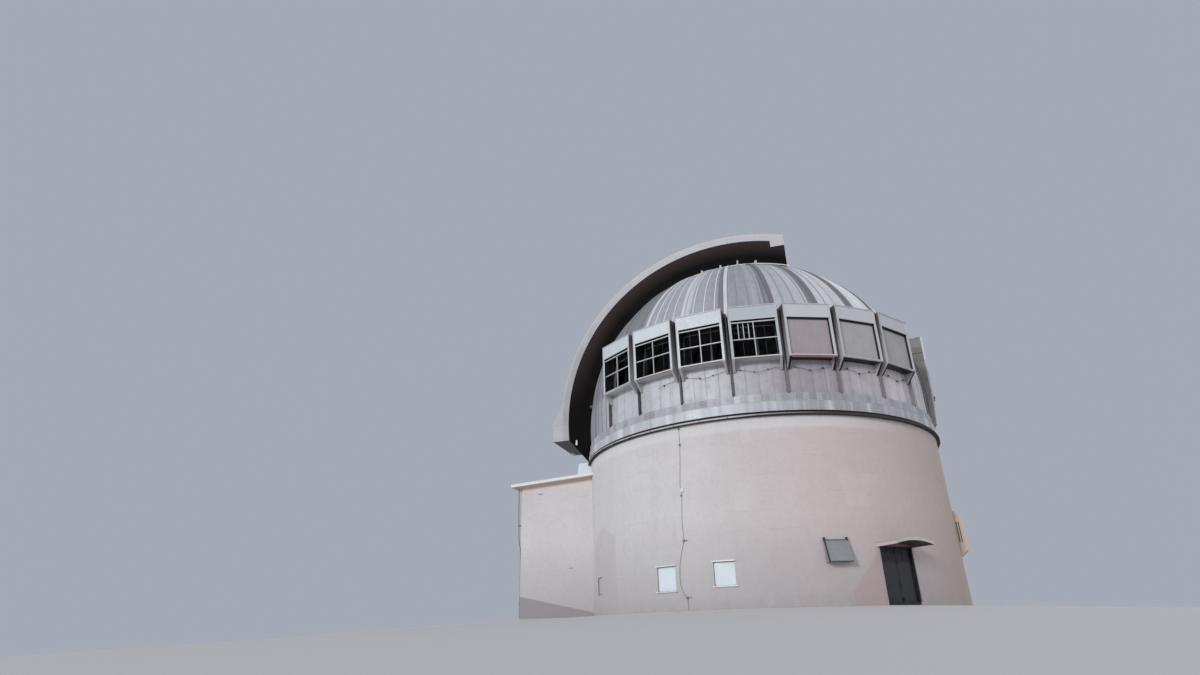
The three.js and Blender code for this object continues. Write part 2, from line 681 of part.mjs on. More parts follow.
function addHood() {
  for (const [label, side] of [["near", -1], ["far", 1]]) {
    const wallY = side < 0 ? [-HOOD_WALL_Y[1], -HOOD_WALL_Y[0]] : HOOD_WALL_Y;
    const beamY = side < 0 ? [-HOOD_BEAM_Y[1], -HOOD_BEAM_Y[0]] : HOOD_BEAM_Y;
    let wall = solid(sideways(hoodWallOutline(), wallY));
    for (const angle of ROLLER_ANGLES) wall = wall.add(roller(angle, side));
    add(`hood_wall_${label}`, wall, PAINT.dark);
    add(`hood_beam_${label}`, sideways(beamOutline(), beamY), PAINT.hood);
  }
  const inside = [-HOOD_BEAM_Y[0], HOOD_BEAM_Y[0]];
  add("hood_skin", sideways(hoodSkinOutline(), inside), PAINT.hood);
}

addBuilding();
addEntrance();
addWallFittings();
addAnnex();
addDome();
addHood();

export default part;
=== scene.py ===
"""Looks of the observatory dome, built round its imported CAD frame.

Metres, +Z up. The origin is on the dome's axis at ground level, and the slit faces -X at rest.
Bearings are degrees round the axis from -Y, growing towards +X.
"""
from math import acos, asin, ceil, cos, degrees, pi, radians, sin, sqrt

import bmesh
import bpy
from mathutils import Matrix, Vector


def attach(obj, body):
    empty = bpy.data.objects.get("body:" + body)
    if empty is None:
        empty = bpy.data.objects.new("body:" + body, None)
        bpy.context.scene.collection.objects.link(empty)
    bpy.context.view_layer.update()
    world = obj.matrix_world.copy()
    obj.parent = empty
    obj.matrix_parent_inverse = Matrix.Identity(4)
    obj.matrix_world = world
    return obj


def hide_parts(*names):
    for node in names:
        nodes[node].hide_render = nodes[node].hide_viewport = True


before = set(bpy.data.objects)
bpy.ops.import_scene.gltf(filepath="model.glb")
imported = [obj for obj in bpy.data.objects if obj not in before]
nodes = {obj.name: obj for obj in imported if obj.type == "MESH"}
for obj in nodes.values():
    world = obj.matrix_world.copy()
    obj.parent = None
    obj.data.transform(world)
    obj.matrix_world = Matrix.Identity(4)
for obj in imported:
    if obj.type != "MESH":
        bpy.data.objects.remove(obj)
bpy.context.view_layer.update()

# Sizes shared with the CAD source, in metres
WALL_R = 15.0
WALL_T = 0.4
WALL_TOP = 12.6
CURB_R = 15.245
CURB_TOP = 12.84
CURB_LIP = (12.655, 12.755)
TRACK_TOP = 12.89
TRACK_R = (14.74, 14.9)
DOME_R = 14.85
DOME_T = 0.25
DOME_Z = 16.245
SKIRT_R = 15.096
SKIRT_STEP = 13.695
SKIRT_UPPER_R = 15.0
SKIRT_TOP = 14.025
FLASHING_TOP = 14.3
SKIRT_IN_R = 14.6
RIB_PITCH = 15.0
SEAM_PITCH = RIB_PITCH / 4
RIB_PROUD = 0.09
RIB_HALF = 0.15
RIB_END_Y = 3.0
SEAM_PROUD = 0.05
SEAM_HALF = 0.034
FIN_OUT_R = 15.09
FIN_HALF = 0.06
FIN_TOP = 20.9
SLIT_HALF = 2.5
RAIL_Y = (2.85, 2.98)
RAIL_R = (14.5, 14.76)
VENT_FACE = 15.571
VENT_HALF = 1.79
VENT_CLEAR = 1.62
VENT_HOLE = (17.04, 19.98)
VENT_FOOT = 16.86
VENT_TOP = 21.12
VENT_SILL = (16.92, 17.0)
HOOD_X = -0.18
HOOD_Z = 17.33
HOOD_IN_R = 16.86
HOOD_OUT_R = 17.61
HOOD_SKIN_R = (17.18, 17.46)
HOOD_REAR_X = 5.2
HOOD_TAB = (3.9, 33.0)
HOOD_FOOT_R = 14.7
HOOD_EDGE_Y = (2.9, 2.56)
HOOD_WALL_Y = (2.81, 2.66)
HOOD_LIP_X = -18.6
HOOD_LIP_FOOT = 15.74
HOOD_POSTS = ((79.1, 15.66, 0.12), (86, 15.66, 0.12), (92.2, 15.86, 0.09), (98.6, 15.7, 0.14))
DOOR_BEARING = 38.6
DOOR_HALF = 1.35
DOOR_TOP = 3.65
LEAF_FACES = ((14.793, 14.807), (14.733, 14.747))
LEAF_Z = (0.212, 2.706)
LEAF_EDGE = (0.006, 1.228)
ANNEX_X = -20.4
ANNEX_HALF = 5.9
HEADER_FOOT = 19.86
CHEEK_FOOT = 16.1
WINDOWS = ((-23.4, 0.77, (1.275, 2.895)), (-6.8, 0.73, (1.44, 2.955)))
HATCH = (-56, 0.52, (1.525, 2.775))
LOUVRE = (21.5, 0.8, ((15.62, 2.61), (15.16, 4.065)))
SIDE_BAY = (82, 1.2)
NEAR_VENTS = [-37.5 + RIB_PITCH * i for i in range(7)]
FAR_VENTS = [180 - b for b in NEAR_VENTS]
OPEN_VENTS = 4
DEGREE = 180 / pi
SHARP = radians(35)


# Points and shapes

def at(bearing, u, v, z):
    """A point u sideways and v outward from the axis at a bearing."""
    s, c = sin(radians(bearing)), cos(radians(bearing))
    return (v * s + u * c, u * s - v * c, z)


def up_shell(r, angle):
    """Distance from the axis and height of a point at an angle up from the dome's centre."""
    return r * cos(radians(angle)), DOME_Z + r * sin(radians(angle))


def beside(side, a, b):
    """The y range between two distances from the middle plane, on one side of it."""
    return sorted((side * a, side * b))


def steps(start, end, size):
    """Evenly spaced values from start to end, no further apart than size."""
    count = max(1, ceil(abs(end - start) / size - 1e-6))
    return [start + (end - start) * i / count for i in range(count + 1)]


def corners(a, b):
    """The corners of a rectangle from its two ranges."""
    return [(a[0], b[0]), (a[1], b[0]), (a[1], b[1]), (a[0], b[1])]


def arch(cx, cz, r, start, end):
    """Points (x, z) of a circle in the side view; the angle grows from -X over the top to +X."""
    turns = [radians(angle) for angle in steps(start, end, 1.5)]
    return [(cx - r * cos(a), cz + r * sin(a)) for a in turns]


def disc(centre, r, count):
    x, z = centre
    turns = [2 * pi * k / count for k in range(count)]
    return [(x + r * cos(a), z + r * sin(a)) for a in turns]


class Form:
    """Points and faces gathered for one piece."""

    def __init__(self):
        self.points = []
        self.faces = []

    def loft(self, rings, closed=False):
        """A skin over rings of equally many points, with its two ends closed unless it joins up."""
        size, count, base = len(rings[0]), len(rings), len(self.points)
        for ring in rings:
            self.points += [tuple(p) for p in ring]
        for i in range(count if closed else count - 1):
            a, b = base + i * size, base + (i + 1) % count * size
            for j in range(size):
                k = (j + 1) % size
                self.faces.append((a + j, a + k, b + k, b + j))
        if not closed:
            self.faces.append(tuple(base + size - 1 - j for j in range(size)))
            self.faces.append(tuple(base + (count - 1) * size + j for j in range(size)))

    def block(self, bearing, u, v, z):
        """A box by its sideways, outward and height ranges at a bearing."""
        self.loft([[at(bearing, a, b, h) for a, b in corners(u, v)] for h in z])

    def box(self, x, y, z):
        self.loft([[(a, b, h) for a, b in corners(x, y)] for h in z])

    def plate(self, bearing, outline, u):
        """An outline of (outward, height) points made as wide as the sideways range."""
        self.loft([[at(bearing, w, v, z) for v, z in outline] for w in u])

    def slab(self, outline, y):
        """A side view outline of (x, z) points made as wide as the y range."""
        self.loft([[(x, w, z) for x, z in outline] for w in y])

    def band(self, r, z, span=(0, 360), size=1.25):
        """A straight band round the axis between two radii and two heights."""
        self.turned(corners(r, z), span, size)

    def turned(self, outline, span=(0, 360), size=1.25):
        """An outline of (radius, height) points turned round the axis."""
        full = span[1] - span[0] >= 360
        turns = steps(span[0], span[1], size)
        if full:
            turns = turns[:-1]
        self.loft([[at(b, 0, r, z) for r, z in outline] for b in turns], full)

    def meridian(self, bearing, half, r, start, end, size=2.0, drum=None):
        """A strip up the shell along an hour line, from the drum's foot where that is given."""
        profile = ((-half, r[0]), (half, r[0]), (half, r[1]), (-half, r[1]))
        rings = []
        if drum is not None:
            rings.append([at(bearing, u, k, drum) for u, k in profile])
        for a in steps(start, end, size):
            rings.append([at(bearing, u, *up_shell(k, a)) for u, k in profile])
        self.loft(rings)

    def tube(self, path, radius, sides=8):
        """A round bar along a path of points."""
        path = [Vector(p) for p in path]
        rings = []
        side = None
        for i, point in enumerate(path):
            along = (path[min(i + 1, len(path) - 1)] - path[max(i - 1, 0)]).normalized()
            if side is None:
                side = along.orthogonal().normalized()
            side = (side - along * side.dot(along)).normalized()
            other = along.cross(side)
            turn = [2 * pi * k / sides for k in range(sides)]
            rings.append([point + radius * (side * cos(t) + other * sin(t)) for t in turn])
        self.loft(rings)

    def mesh(self, name):
        mesh = bpy.data.meshes.new(name)
        mesh.from_pydata(self.points, [], self.faces)
        tidy = bmesh.new()
        tidy.from_mesh(mesh)
        bmesh.ops.recalc_face_normals(tidy, faces=tidy.faces)
        tidy.to_mesh(mesh)
        tidy.free()
        return mesh


def place(name, data):
    made = bpy.data.objects.new(name, data)
    bpy.context.scene.collection.objects.link(made)
    return made


def cut(target, holes):
    """Takes the solids of another form out of an object."""
    cutter = place("cutter", holes.mesh("cutter"))
    modifier = target.modifiers.new("cut", "BOOLEAN")
    modifier.operation = "DIFFERENCE"
    modifier.solver = "EXACT"
    modifier.object = cutter
    bpy.context.view_layer.update()
    whole = target.evaluated_get(bpy.context.evaluated_depsgraph_get())
    mesh = bpy.data.meshes.new_from_object(whole)
    target.modifiers.clear()
    old, target.data = target.data, mesh
    bpy.data.meshes.remove(old)
    bpy.data.objects.remove(cutter)


def piece(name, form, body, material, replaced=(), holes=None, bevel=0):
    """One visible piece that rides on a body, with its finish and the CAD nodes it stands for."""
    made = place(name, form.mesh(name))
    if holes:
        cut(made, holes)
    made.data.materials.append(material)
    made.data.polygons.foreach_set("use_smooth", [True] * len(made.data.polygons))
    made.data.set_sharp_from_angle(angle=SHARP)
    if bevel:
        edge = made.modifiers.new("edges", "BEVEL")
        edge.width = bevel
        edge.segments = 2
        edge.limit_method = "ANGLE"
        edge.angle_limit = SHARP
    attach(made, body)
    if replaced:
        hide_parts(*replaced)
    return made


# Materials

def linear(level):
    """The linear value of a 0-255 display level."""
    v = level / 255
    return v / 12.92 if v <= 0.04045 else ((v + 0.055) / 1.055) ** 2.4


def srgb(levels):
    return (*map(linear, levels), 1)


def arithmetic(operation):
    """A method of Value that adds the node for one step of arithmetic."""
    return lambda value, *others: value.graph.math(operation, value, *others)


class Value:
    """A number or colour that comes out of one of a material's nodes; a | b is the larger of two masks."""

    __add__ = arithmetic("ADD")
    __sub__ = arithmetic("SUBTRACT")
    __mul__ = arithmetic("MULTIPLY")
    __truediv__ = arithmetic("DIVIDE")
    __mod__ = arithmetic("FLOORED_MODULO")
    __abs__ = arithmetic("ABSOLUTE")
    __or__ = arithmetic("MAXIMUM")

    def __init__(self, graph, socket):
        self.graph = graph
        self.socket = socket

    def span(self, low, high, start, end):
        """Goes from start to end while the value goes from low to high."""
        return self.graph.make("ShaderNodeMapRange", (self, low, high, start, end))[0]

    def ramp(self, low, high, most=1):
        return self.span(low, high, 0, most)

    def within(self, low, high, soft=0.02):
        """1 where the value lies between two limits, with soft ends."""
        return self.ramp(low - soft, low + soft) * self.span(high - soft, high + soft, 1, 0)

    def lines(self, pitch, width):
        """1 on thin lines a pitch apart."""
        near = abs(self.graph.math("FRACT", self / pitch) - 0.5)
        return near.ramp(0.5 - width / pitch, 0.5 - width / pitch / 2)


# Places of two outputs in the lists of the Texture Coordinate and Geometry nodes
OBJECT = 3
TRUE_NORMAL = 3


class Graph:
    """Builds the nodes of one material. Colours are given as 0-255 display levels."""

    def __init__(self, name, metallic=0):
        self.material = bpy.data.materials.new(name)
        self.material.use_nodes = True
        self.tree = self.material.node_tree
        self.shader = self.tree.nodes["Principled BSDF"]
        self.shader.inputs["Metallic"].default_value = metallic
        self.place = self.make("ShaderNodeTexCoord")[OBJECT]
        self.x, self.y, self.z = self.make("ShaderNodeSeparateXYZ", [self.place])
        self.bearing = self.math("ARCTAN2", self.x, self.y * -1) * DEGREE
        self.radius = self.distance(self.x, self.y)
        self.length = self.bearing * (WALL_R / DEGREE)

    def join(self, value, socket):
        """Feeds a socket with a value, a number or a colour."""
        if isinstance(value, Value):
            self.tree.links.new(value.socket, socket)
        else:
            socket.default_value = srgb(value) if isinstance(value, tuple) else value

    def make(self, kind, inputs=(), **settings):
        """Adds a node, feeds its inputs by place or by name, and gives its outputs."""
        node = self.tree.nodes.new(kind)
        for key, value in settings.items():
            setattr(node, key, value)
        for key, value in inputs.items() if isinstance(inputs, dict) else enumerate(inputs):
            self.join(value, node.inputs[key])
        return [Value(self, socket) for socket in node.outputs]

    def math(self, operation, *inputs):
        return self.make("ShaderNodeMath", inputs, operation=operation)[0]

    def distance(self, a, b):
        return self.math("SQRT", a * a + b * b)

    def at(self, x, y, z=0):
        return self.make("ShaderNodeCombineXYZ", (x, y, z))[0]

    def facing(self):
        """How far the surface faces upwards, from -1 to 1."""
        return self.make("ShaderNodeSeparateXYZ", [self.make("ShaderNodeNewGeometry")[TRUE_NORMAL]])[2]

    def fold(self):
        """Degrees from the middle of the nearest vent."""
        return self.bearing % RIB_PITCH - RIB_PITCH / 2

    def noise(self, scale, detail=3, roughness=0.55, vector=None):
        inputs = {"Vector": vector or self.place, "Scale": scale, "Detail": detail, "Roughness": roughness}
        return self.make("ShaderNodeTexNoise", inputs)[0]

    def streaks(self, across, down, detail=4):
        """Noise drawn out downwards, from 0 to 1."""
        return self.noise(1, detail, 0.6, self.at(self.length * across, self.z * down))

    def chance(self, x, y, z):
        """An even random value from 0 to 1 for each whole-number cell."""
        cell = self.at(self.math("FLOOR", x), self.math("FLOOR", y), z)
        return self.make("ShaderNodeTexWhiteNoise", {"Vector": cell})[0]

    def blend(self, factor, a, b):
        return self.make("ShaderNodeMix", {0: factor, 6: a, 7: b}, data_type="RGBA")[2]

    def coats(self, tone, *layers):
        """One colour over another, each where its mask says."""
        for mask, colour in layers:
            tone = self.blend(mask, tone, colour)
        return tone

    def stepped(self, limits, *tones):
        """One tone after another round the axis, changing softly at each bearing given."""
        return self.coats(tones[0], *[(self.bearing.ramp(limit - 2, limit + 2), tone)
                                      for limit, tone in zip(limits, tones[1:])])

    def finish(self, colour, roughness, height=None, distance=0.01, strength=0.4):
        self.join(colour, self.shader.inputs["Base Color"])
        self.join(roughness, self.shader.inputs["Roughness"])
        if height is not None:
            inputs = {"Strength": strength, "Distance": distance, "Height": height}
            self.join(self.make("ShaderNodeBump", inputs)[0], self.shader.inputs["Normal"])
        return self.material

    def grained(self, colour, smooth, rough, scale=12):
        """Finishes a painted face with fine grain in its gloss and relief."""
        grain = self.noise(scale, 4, 0.6)
        return self.finish(colour, grain.span(0.3, 0.7, smooth, rough), grain, 0.006, 0.3)


def wall_marks(g):
    """Masks and colours of what sets parts of the round wall apart, painted shadow and light among them."""
    # head: a paler band under the curb, partly its own paint and partly painted light that lifts the curb's
    # shade
    head = g.z.within(11.75, 12.6, 0.12) * g.bearing.within(-95, 42, 12)
    # wedge: a painted shadow, a darker triangle on the wall left of the door
    wedge = (g.z - g.bearing.span(24.5, 34, 0.9, 3.6)).ramp(0.03, -0.03) * g.bearing.within(24.5, 34.5, 0.1)
    away = abs(g.bearing + 52.5)
    point = (g.z - away.span(0, 9, 6.5, 5.6)).ramp(0.04, -0.04) * away.ramp(8.6, 8.3)
    tan = g.bearing.ramp(44, 74) * g.z.span(12, 3, 0.35, 0.7) * g.bearing.ramp(130, 90)
    # under: painted shade on the wall between the door's head and the canopy
    under = g.bearing.within(32.8, 44.4, 0.1) * g.z.within(3.6, 3.86)
    return ((head * 0.45, (232, 230, 233)), (wedge * 0.45, (184, 156, 154)), (point * 0.25, (184, 172, 173)),
            (tan, (206, 184, 166)), (under * 0.8, (112, 82, 80)))


def annex_marks(g):
    """Bare concrete along the annex's foot, and a warm painted light under its eaves that stands in for
    light from the soffit and lifts the eaves' shade.
    """
    limit = (g.x - ANNEX_X) * -0.216 + 1.75
    bare = (g.z - limit).ramp(0.05, -0.05) * g.y.ramp(-5.8, -5.85)
    # The second mask is the warm painted light under the eaves.
    return (bare * 0.85, (150, 144, 147)), (g.z.ramp(10.35, 10.95, 0.5), (238, 218, 204))


def concrete(name, light, dirt, warm=None):
    """Painted concrete with repaint patches, faint lifts, run marks and a stained foot."""
    g = Graph(name)
    run = g.length if warm else g.x + g.y
    rows = g.z / 2.3 + g.noise(0.6, 2) * 0.5
    patch = g.chance(run / 2.9 + g.noise(0.35, 2) * 1.6, rows, 3)
    cloud = g.noise(0.22, 4, 0.6)
    fine = g.noise(3.2, 6, 0.7)
    lifts = g.z.lines(1.22, 0.05) * g.noise(0.5, 2).ramp(0.5, 0.62, 0.16)
    splash = g.z.span(0, 0.9, 1, 0) * g.noise(1.4, 5, 0.7).ramp(0.35, 0.6)
    tone = light
    if warm:
        # The warm side is painted warm light, strongest at bearing 62.
        sunlit = g.math("COSINE", (g.bearing - 62) / DEGREE)
        tone = g.blend(sunlit.ramp(0.15, 0.95), light, warm)
    tone = g.coats(
        tone,
        (patch.ramp(0.75, 0.8, 0.12), (226, 220, 220)),
        (patch.ramp(0.3, 0.25, 0.14), dirt),
        (cloud.ramp(0.42, 0.72, 0.3), dirt),
        (g.streaks(0.9, 0.07).ramp(0.5, 0.8, 0.3), dirt),
        (g.z.ramp(6, 0.5, 0.65), (168, 163, 166)),
        (fine.ramp(0.45, 0.8, 0.18), (150, 138, 136)),
        (lifts, (168, 158, 156)),
        (splash * 0.3, (150, 136, 131)),
        *(wall_marks(g) if warm else annex_marks(g)),
    )
    height = g.noise(14, 6, 0.7) + lifts * -2.0 + cloud * 2.0
    return g.finish(tone, fine.span(0.3, 0.7, 0.78, 0.95), height, 0.012, 0.5)


def sheets(g, tone, joint, dirt=0.3, rust=0.25):
    """Runs, clouds, spangle and joints over sheets of metal; gives tone, roughness and relief."""
    run = g.streaks(2.2, 0.12)
    mottle = g.noise(1.3, 6, 0.7)
    spangle = g.noise(9, 4, 0.6)
    spots = g.noise(0.8, 6, 0.75).ramp(0.58, 0.7) * run.ramp(0.4, 0.6)
    tone = g.coats(
        tone,
        (run.ramp(0.52, 0.8, 0.35), (118, 112, 114)),
        (run.ramp(0.45, 0.28, 0.3), (218, 221, 225)),
        (mottle.ramp(0.5, 0.72, dirt), (116, 106, 108)),
        (spangle.ramp(0.45, 0.7, 0.12), (205, 208, 212)),
        (spots * rust, (128, 88, 80)),
        (joint * 0.35, (84, 80, 84)),
    )
    return tone, mottle.span(0.3, 0.7, 0.5, 0.7), spangle * 0.3 - joint


def shell_paint(name):
    """Grey cap sheets over a lighter belt that turns pinkish and streaked to the right; pale inside."""
    g = Graph(name, 0.12)
    # shade: a random paint tone for each sheet
    shade = g.chance(g.bearing / SEAM_PITCH, 0.5, 1)
    # A painted shadow: a dark strip on the cap left of each rib on the near side.
    rib_shadow = (g.bearing % RIB_PITCH).within(12.4, 14.4, 0.1) * g.bearing.within(-5, 60, 1)
    cap = g.coats(
        g.stepped((-58, -32, -7), (118, 119, 124), (132, 132, 137), (177, 179, 184), (168, 169, 174)),
        # A painted highlight: the cap's sheets turn near white where they glint, strongest from bearing 46
        # to 75.
        (g.bearing.ramp(5, 46) * g.bearing.ramp(95, 75), (248, 249, 250)),
        (shade * 0.3, (150, 151, 156)),
        (rib_shadow * 0.9, (124, 122, 126)),
        # A painted highlight: a bright strip on the cap just right of the rib at bearing -15.
        (g.bearing.within(-14.6, -12.6, 0.5) * 0.7, (222, 225, 229)),
    )
    belt = g.coats(
        (206, 208, 212),
        (g.bearing.ramp(-15, 20), (174, 166, 172)),
        (g.bearing.ramp(28, 46), (224, 217, 220)),
        (g.bearing.ramp(-45, -56), (168, 169, 174)),
        (shade.ramp(0.5, 1, 0.3), (150, 148, 153)),
    )
    low = g.z.ramp(17.6, 17.2)
    tone, rough, height = sheets(g, g.blend(low, cap, belt), g.bearing.lines(SEAM_PITCH, 0.12) * low)
    out = g.distance(g.radius, (g.z - DOME_Z) | 0)
    tone = g.blend(out.ramp(DOME_R - 0.03, DOME_R - 0.06), tone, (168, 169, 180))
    return g.finish(tone, rough, height, 0.01, 0.5)


def skirt_paint(name):
    """A smooth light lower band under a patchwork of small bluish panels."""
    g = Graph(name, 0.15)
    wide = g.chance(g.bearing / (2 * SEAM_PITCH), 0.5, 5)
    right = g.bearing.ramp(0, 24) * g.bearing.span(52, 36, 0.45, 1)
    shine = g.noise(1, vector=g.at(g.bearing * 0.22, 2))
    lower = g.coats(
        (202, 205, 210),
        (wide * 0.4, (188, 190, 195)),
        (right * 0.75, (164, 157, 162)),
        (shine.ramp(0.5, 0.64, 0.85), (232, 236, 239)),
        (g.bearing.ramp(-56, -66), (166, 168, 172)),
    )
    narrow = g.bearing / (SEAM_PITCH / 2)
    upper = g.coats(
        (164, 161, 167),
        ((g.chance(narrow, 1, 6) + wide) * 0.5, (204, 205, 209)),
        (g.chance(narrow, 3, 8).ramp(0.8, 0.85, 0.35), (136, 131, 137)),
    )
    high = g.z.ramp(SKIRT_STEP - 0.02, SKIRT_STEP)
    joint = g.bearing.lines(SEAM_PITCH / 2, 0.1) * high * 0.7
    tone, rough, height = sheets(g, g.blend(high, lower, upper), joint, 0.15, 0.1)
    tone = g.blend(g.radius.ramp(SKIRT_IN_R + 0.1, SKIRT_IN_R + 0.05), tone, (20, 19, 21))
    return g.finish(tone, rough, height, 0.008, 0.4)


def rib_paint(name, limits, *tones):
    """Paint of the ribs, seams and fins, whose tone changes round the dome; its bright steps are painted
    highlights, and the fins' dark step painted shade.
    """
    g = Graph(name)
    tone = g.coats(
        g.stepped(limits, *tones),
        (g.chance(g.bearing / RIB_PITCH + 0.5, 0.5, 3) * 0.25, (150, 146, 149)),
        (g.streaks(5, 0.4, 5).ramp(0.5, 0.8, 0.2), (84, 78, 80)),
    )
    return g.grained(tone, 0.4, 0.6)


def curb_paint(name):
    """A light lip between a dark upper edge and a dark foot, all dark on the entrance's side: painted shadow
    in the gap under the skirt, painted shade under the curb's overhang and on its shaded side.
    """
    g = Graph(name)
    grain = g.noise(2, 5, 0.7)
    lip = g.blend(grain.ramp(0.3, 0.7), (216, 211, 213), (186, 178, 180))
    # Painted shade: the lip goes dark towards the entrance's side.
    lip = g.blend(g.bearing.ramp(0, 25), lip, (66, 56, 57))
    # Painted shadow above and below the lip.
    tone = g.blend(g.z.within(*CURB_LIP, 0.01), (26, 23, 25), lip)
    return g.finish(tone, 0.7, grain, 0.006, 0.3)


def painted(name, base, dark, metallic=0.1, rust=0, roughness=(0.45, 0.65), scale=0.9):
    """A painted metal face with clouds of dirt, runs and rust spots."""
    g = Graph(name, metallic)
    tone = g.coats(
        base,
        (g.noise(scale, 5, 0.65).ramp(0.45, 0.78, 0.5), dark),
        (g.streaks(4, 0.3, 5).ramp(0.52, 0.8, 0.4), dark),
        (g.noise(7, 5, 0.7).ramp(0.5, 0.75, 0.15), dark),
    )
    if rust:
        tone = g.blend(g.noise(1.7, 7, 0.75).ramp(0.6, 0.7, rust), tone, (128, 78, 66))
    return g.grained(tone, *roughness)


def vent_paint(name):
    """Light face plates and cheeks of a vent box, by how far out a point lies; the cheeks carry dirt and a
    painted shade that darkens them up towards the header.
    """
    g = Graph(name, 0.2)
    turn = g.fold() / DEGREE
    out = g.radius * g.math("COSINE", turn)
    side = abs(g.radius * g.math("SINE", turn))
    face = out.ramp(VENT_FACE - 0.03, VENT_FACE - 0.015)
    cloud = g.noise(1.1, 6, 0.7)
    edge = side.ramp(VENT_HALF - 0.05, VENT_HALF) | g.z.ramp(VENT_TOP - 0.07, VENT_TOP)
    plate = g.coats(
        g.stepped((-15, 15), (218, 224, 229), (190, 195, 200), (210, 210, 214)),
        (cloud.ramp(0.5, 0.8, 0.3), (168, 168, 171)),
        (g.streaks(5, 0.35, 5).ramp(0.55, 0.8, 0.25), (160, 158, 160)),
        (edge * 0.3, (130, 128, 130)),
    )
    slope = out - g.z.span(CHEEK_FOOT, VENT_FOOT, 14.89, VENT_FACE)
    wedge = slope.ramp(-0.04, -0.02) * g.z.ramp(VENT_FOOT + 0.02, VENT_FOOT)
    hole = side.ramp(1.66, 1.63) * g.z.within(16.9, 20.05) * out.ramp(15.57, 15.55)
    cheek = g.coats(
        (206, 203, 206),
        # Painted shade: the cheeks darken from the foot up to the header.
        (g.z.ramp(15.9, 18.6), (176, 172, 175)),
        (g.z.ramp(18.2, 20.8), (92, 88, 92)),
        (cloud.ramp(0.45, 0.7, 0.3), (120, 115, 118)),
        (out.ramp(15.5, 15.56, 0.5), (160, 160, 163)),
        (g.z.ramp(VENT_TOP - 0.02, VENT_TOP - 0.01), (176, 176, 179)),
        (hole, (42, 40, 42)),
        (wedge, (178, 176, 179)),
    )
    foot = g.z.ramp(17.02, 16.9) * face * g.noise(2, 5, 0.7).ramp(0.42, 0.6)
    # Painted shade on the downward faces below the closed vents.
    closed_underside_shade = g.facing().ramp(-0.2, -0.4) * g.bearing.within(15, 165, 1) * g.z.ramp(17.1, 17)
    tone = g.coats(
        g.blend(face, cheek, plate),
        (foot * 0.55, (158, 116, 112)),
        (closed_underside_shade, (30, 25, 26)),
        (g.radius.ramp(14.7, 14.5), (52, 53, 62)),
    )
    return g.grained(tone, 0.42, 0.62, 10)


def closed_paint(name):
    """Pinkish grey roller sheets with fine slats and clouds, with a painted shadow line along the head and
    one side.
    """
    g = Graph(name, 0.1)
    cloud = g.noise(0.9, 5, 0.65).ramp(0.35, 0.7)
    grey = g.blend(cloud, (190, 187, 188), (178, 175, 176))
    slats = g.z.lines(0.12, 0.03)
    # rim: a painted shadow line under the header and along the sides
    rim = g.z.ramp(19.82, 19.86) | g.fold().ramp(5.72, 5.8) | g.fold().ramp(-5.98, -6.04)
    tone = g.coats(
        (180, 168, 173),
        (cloud, (170, 159, 164)),
        (g.bearing.within(29, 151, 0.5), grey),
        (slats * 0.1, (120, 112, 114)),
        (g.streaks(6, 0.3, 5).ramp(0.55, 0.8, 0.25), (132, 120, 122)),
        (rim * 0.92, (34, 31, 33)),
    )
    return g.finish(tone, 0.7, slats * -1, 0.01, 0.5)


def hood_paint(name):
    """Weathered paint of the hood: a lighter band along its outer rim and faint plate joints."""
    g = Graph(name, 0.1)
    across, rise = g.x - HOOD_X, g.z - HOOD_Z
    angle = g.math("ARCTAN2", rise, across * -1) * DEGREE
    cloud = g.noise(0.7, 6, 0.7)
    fine = g.noise(5, 6, 0.75)
    joint = angle.lines(9, 0.1)
    tone = g.coats(
        (176, 174, 177),
        (g.chance(angle / 9, 0.5, 2) * 0.3, (156, 153, 155)),
        (cloud.ramp(0.45, 0.75, 0.5), (156, 153, 155)),
        (g.distance(across, rise).ramp(HOOD_OUT_R - 0.3, HOOD_OUT_R - 0.02, 0.7), (192, 195, 197)),
        # Painted shade on the downward faces at the hood's foot.
        (g.facing().ramp(-0.5, -0.9) * g.z.ramp(16.2, 16), (106, 108, 112)),
        (g.z.ramp(24, 33, 0.6), (212, 211, 214)),
        (joint * 0.2, (96, 94, 96)),
        (fine.ramp(0.55, 0.75, 0.22), (128, 120, 119)),
    )
    return g.finish(tone, cloud.span(0.3, 0.7, 0.55, 0.72), fine * 0.4 - joint, 0.008, 0.35)


def dark_paint(name, base, warm):
    """Near-black sheet, its dark paint deepened by painted shade, with a dull brown cast along the hood's
    rim.
    """
    g = Graph(name)
    out = g.distance(g.x - HOOD_X, g.z - HOOD_Z)
    cloud = g.noise(0.5, 6, 0.7)
    lift = g.z.ramp(18.5, 25) * out.ramp(15.2, 16.7) * cloud.span(0.2, 0.5, 0.6, 1)
    tone = g.coats(base, (lift, warm), (g.noise(4, 6, 0.7).ramp(0.5, 0.8, 0.08), warm))
    g.shader.inputs["Specular IOR Level"].default_value = 0.15
    return g.finish(tone, cloud.span(0.3, 0.7, 0.75, 0.92), cloud, 0.01, 0.3)


def faced(name, sides, under, top):
    """A concrete slab whose edge, underside and upper face differ in tone; on the canopy the dark underside
    is painted shade.
    """
    g = Graph(name)
    up = g.facing()
    cloud = g.noise(1.2, 6, 0.7).ramp(0.5, 0.75, 0.35)
    tone = g.coats(sides, (up.ramp(-0.3, -0.7), under), (up.ramp(0.6, 0.8), top), (cloud, (150, 138, 134)))
    grain = g.noise(12, 5, 0.7)
    return g.finish(tone, grain.span(0.3, 0.7, 0.75, 0.92), grain, 0.01, 0.4)


